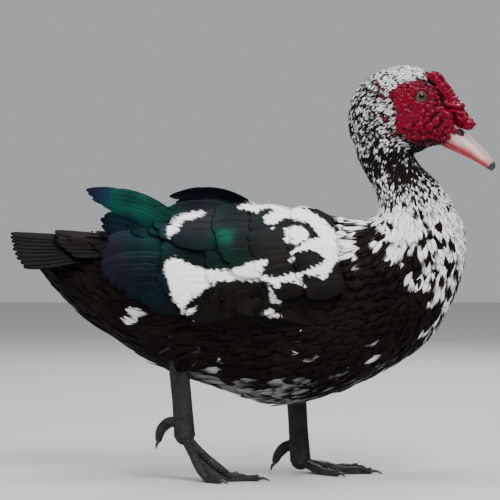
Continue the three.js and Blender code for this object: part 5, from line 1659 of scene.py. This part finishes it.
def web_shell(first, second, rows=46, columns=30):
    """The web between two toes, with a hollow front edge and faint folds from the ankle out."""
    r, c = np.meshgrid(np.linspace(0, 1, rows), np.linspace(0, 1, columns), indexing="ij")
    t = 0.06 + (0.93 - 0.17 * np.sin(np.pi * c) - 0.06) * r
    at = between_rows(first, t * 4) * (1 - c[..., None]) + between_rows(second, t * 4) * c[..., None]
    folds = 0.45 * np.sin(c * 9 * np.pi) * np.sin(np.pi * r) ** 0.5
    low = np.maximum(at[..., 2] - 1.5 - 2 * np.sin(np.pi * c) + folds, WEB_THICKNESS / 2)
    places = [
        np.stack([at[..., 0], at[..., 1], low + half * WEB_THICKNESS / 2], axis=-1).reshape(-1, 3)
        for half in (1, -1)
    ]
    index = np.arange(rows * columns).reshape(rows, columns)
    corners = [index[:-1, :-1], index[1:, :-1], index[1:, 1:], index[:-1, 1:]]
    quads = np.stack(corners, axis=-1).reshape(-1, 4)
    under = rows * columns
    faces = quads.tolist() + (quads[:, ::-1] + under).tolist()
    edge = [int(k) for k in (*index[0], *index[1:, -1], *index[-1, -2::-1], *index[-2:0:-1, 0])]
    for a, b in zip(edge, edge[1:] + edge[:1]):
        faces.append([a, b, b + under, a + under])
    return np.concatenate(places) * MM, faces


def claw_tube(path, length, drop):
    """A claw that goes on from the end of a toe, arched and pointed, in mm."""
    line = between_rows(path, np.array([0.97, 1.0]) * (len(path) - 1))
    end, along = line[1], unit(line[1] - line[0])
    tip = end + along * length
    tip[2] = max(end[2] - drop, 0.6)
    chord = unit(tip - end)
    arch = unit(np.array((0, 0, 1)) - chord[2] * chord)
    middle = (end + tip) / 2 + arch * 1.4
    way = (0, 1, 0) if abs(chord[1]) < 0.7 else (1, 0, 0)
    path = [end - along * 2, end, middle, tip]
    shape = swept(path, lambda t: 2.6 * (1 - t) ** 0.6 + 0.25, 0.85, rings=26, sides=16, side_way=way)
    shape[..., 2] = np.maximum(shape[..., 2], 0.05)
    return shape * MM


def small_scales(add):
    cells = add("ShaderNodeTexVoronoi", {"Scale": 640.0}, feature="DISTANCE_TO_EDGE").outputs["Distance"]
    return add("ShaderNodeMath", {0: cells, 1: 0.12}, operation="MINIMUM").outputs[0], 0.5, 0.0012


def leg_tone(points, own):
    """Slate, a little paler towards the feet."""
    shade = 1.15 + 0.25 * ripples(points, 9 * MM, 52) + 0.1 * own
    shade = shade + 0.3 * smooth_share(40 * MM - points[:, 2], 0, 20 * MM)
    return np.array(SLATE) * shade[:, None]


scale_pattern = feather_pattern(
    "leg_scale", rows=3, columns=2, bow=0.0, droop=0.06, cup=0.1, thickness=0.12
)
scaly, _ = painted_finish("scaly_skin", small_scales, 0.5, 0.25)
claw_horn, _ = painted_finish("claw_horn", faint_grain, 0.35, 0.5)
for side, leg in LEGS.items():
    hip, hock, ankle = (np.array(leg[key], float) for key in ("hip", "hock", "ankle"))
    top = hock + (hip - hock) * 0.22
    shank_path = [top, hock, (hock + ankle) / 2, ankle]
    shank = swept(
        shank_path, lambda t: SHANK_RADIUS + 2.2 * abs(1 - 1.7 * t) ** 2, SHANK_SQUASH, rings=60, sides=40
    )
    toes = {name: toe_path(leg, name) for name in leg["toes"]}
    hallux = leg["hallux"]
    lobe = swept(hallux, lambda t: 4.6 + 2.4 * math.sin(math.pi * t) - 1.4 * t, 0.8)
    joint = BALL[0] * (11, 9, min(10, ankle[2] - 1)) + ankle
    toe_tubes = [
        swept(path, toe_radius, 0.95, rings=60, side_way=(0, 0, 1)) for path in toes.values()
    ]
    parts = [closed_grid(tube * MM) for tube in (shank, *toe_tubes, lobe)]
    parts.append(web_shell(toes["inner"], toes["middle"]))
    parts.append(web_shell(toes["middle"], toes["outer"]))
    parts.append((joint * MM, BALL[1]))
    skin_leg = joined(f"leg_skin_{side}", parts)
    melted(skin_leg, 0.95, smoothing=2)
    centres, ways, spacing = scattered(
        skin_leg.data, 26000, lambda p, n: np.full(len(p), SCALE_SPACING * MM), 51
    )
    scale_tree = tree_of(centres)
    places = places_of(skin_leg.data)
    near = np.array([[found[2] for found in scale_tree.find_n(p, 2)] for p in places]) / MM
    crease = 1 - smooth_share(near[:, 1] - near[:, 0], 0, 0.8)
    moved = places - places_of(skin_leg.data, "normal") * (CREASE_DEPTH * crease * MM)[:, None]
    moved[:, 2] = np.maximum(moved[:, 2], 0)
    skin_leg.data.vertices.foreach_set("co", moved.astype(np.float32).ravel())
    skin_leg.data.update()
    # The creases are also painted darker, a painted shade where the relief is too fine to cast its own.
    paint(skin_leg.data, leg_tone(places, 0) * (1 - 0.5 * crease)[:, None])
    skin_leg.data.materials.append(scaly)
    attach(skin_leg, "root")
    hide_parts(f"shank_{side}", f"foot_{side}")
    shown = (centres[:, 2] > 2.2 * MM) & (ways[:, 2] > -0.55)
    centres, ways, spacing = centres[shown], ways[shown], spacing[shown]
    low = smooth_share((ankle[2] + 6) * MM - centres[:, 2], 0, 8 * MM)[:, None]
    lie = low * unit(centres - ankle * MM) + (1 - low) * (0, 0, -1.0)
    lie = unit(lie - (lie * ways).sum(axis=1, keepdims=True) * ways)
    front = smooth_share(ways[:, 0], 0.3, 0.7) * (1 - low[:, 0])
    long = spacing * (1.35 + 0.25 * front)
    size = np.stack([long, spacing * (1.25 + 0.8 * front), long], axis=1)
    own = np.random.default_rng(54).normal(size=len(centres))
    starts = centres - 0.5 * lie * long[:, None] + ways * 0.05 * MM
    raised = unit(lie + SCALE_LIFT * ways)
    up = unit(ways - SCALE_LIFT * lie)
    coat(f"leg_scales_{side}", starts, raised, up, size, own, scale_pattern, scaly, leg_tone)
    for name, path in (*toes.items(), ("hallux", hallux)):
        long, drop = (10.4, 9) if name == "hallux" else (13, 3)
        claw = joined(f"claw_tip_{side}_{name}", [closed_grid(claw_tube(path, long, drop))])
        turn_faces_out(claw.data)
        shade = 1 + 0.3 * ripples(places_of(claw.data), 3 * MM, 53)
        paint(claw.data, np.array(CLAW_HORN) * shade[:, None])
        claw.data.materials.append(claw_horn)
        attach(claw, "root")
        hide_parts(f"claw_{side}_{name}")
bpy.data.objects.remove(scale_pattern)

# Studio. A plain pale floor and four large soft lamps under a pale sky, and a camera that looks at
# the bird's right side from the photo's height and with its long lens.
floor_mesh = bpy.data.meshes.new("floor")
floor_mesh.from_pydata([(-4, -4, 0), (4, -4, 0), (4, 4, 0), (-4, 4, 0)], [], [(0, 1, 2, 3)])
floor = bpy.data.objects.new("floor", floor_mesh)
bpy.context.scene.collection.objects.link(floor)
floor_finish, floor_shader, *_ = node_material("studio_floor")
floor_shader.inputs["Base Color"].default_value = (0.5, 0.49, 0.475, 1)
floor_shader.inputs["Roughness"].default_value = 0.8
floor_mesh.materials.append(floor_finish)


def lamp(name, place, aim, size, power, tint):
    """A round soft lamp turned to its aim."""
    data = bpy.data.lights.new(name, "AREA")
    data.shape = "DISK"
    data.size = size
    data.energy = power
    data.color = tint
    made = bpy.data.objects.new(name, data)
    bpy.context.scene.collection.objects.link(made)
    made.location = place
    made.rotation_euler = (Vector(aim) - Vector(place)).to_track_quat("-Z", "Y").to_euler()


lamp("key_light", (0.7, -1.5, 1.9), (0, 0, 0.24), 1.1, 58, (1.0, 0.98, 0.95))
lamp("top_light", (-0.2, 0.1, 2.4), (0, 0, 0.2), 1.7, 42, (0.97, 0.985, 1.0))
lamp("fill_light", (-1.6, -1.2, 0.9), (0, 0, 0.2), 1.4, 17, (0.95, 0.97, 1.0))
lamp("back_light", (0.4, 1.9, 1.3), (0, 0, 0.25), 1.3, 22, (1.0, 0.99, 0.97))
world = bpy.data.worlds.new("studio")
bpy.context.scene.world = world
world.use_nodes = True
sky = world.node_tree.nodes["Background"]
sky.inputs["Color"].default_value = (0.86, 0.88, 0.9, 1)
sky.inputs["Strength"].default_value = 0.48

CAMERA_ELEVATION = math.radians(2)
CAMERA_DISTANCE = 4.0
CAMERA_AIM = Vector((-0.0017, 0, 0.2605))
FRAME_WIDTH = 0.575
camera_data = bpy.data.cameras.new("camera")
camera = bpy.data.objects.new("camera", camera_data)
bpy.context.scene.collection.objects.link(camera)
camera_data.sensor_width = 36
camera_data.lens = 36 * CAMERA_DISTANCE / FRAME_WIDTH
camera_data.clip_end = 30
away = Vector((0, -math.cos(CAMERA_ELEVATION), math.sin(CAMERA_ELEVATION)))
camera.location = CAMERA_AIM + away * CAMERA_DISTANCE
camera.rotation_euler = (-away).to_track_quat("-Z", "Y").to_euler()
bpy.context.scene.camera = camera
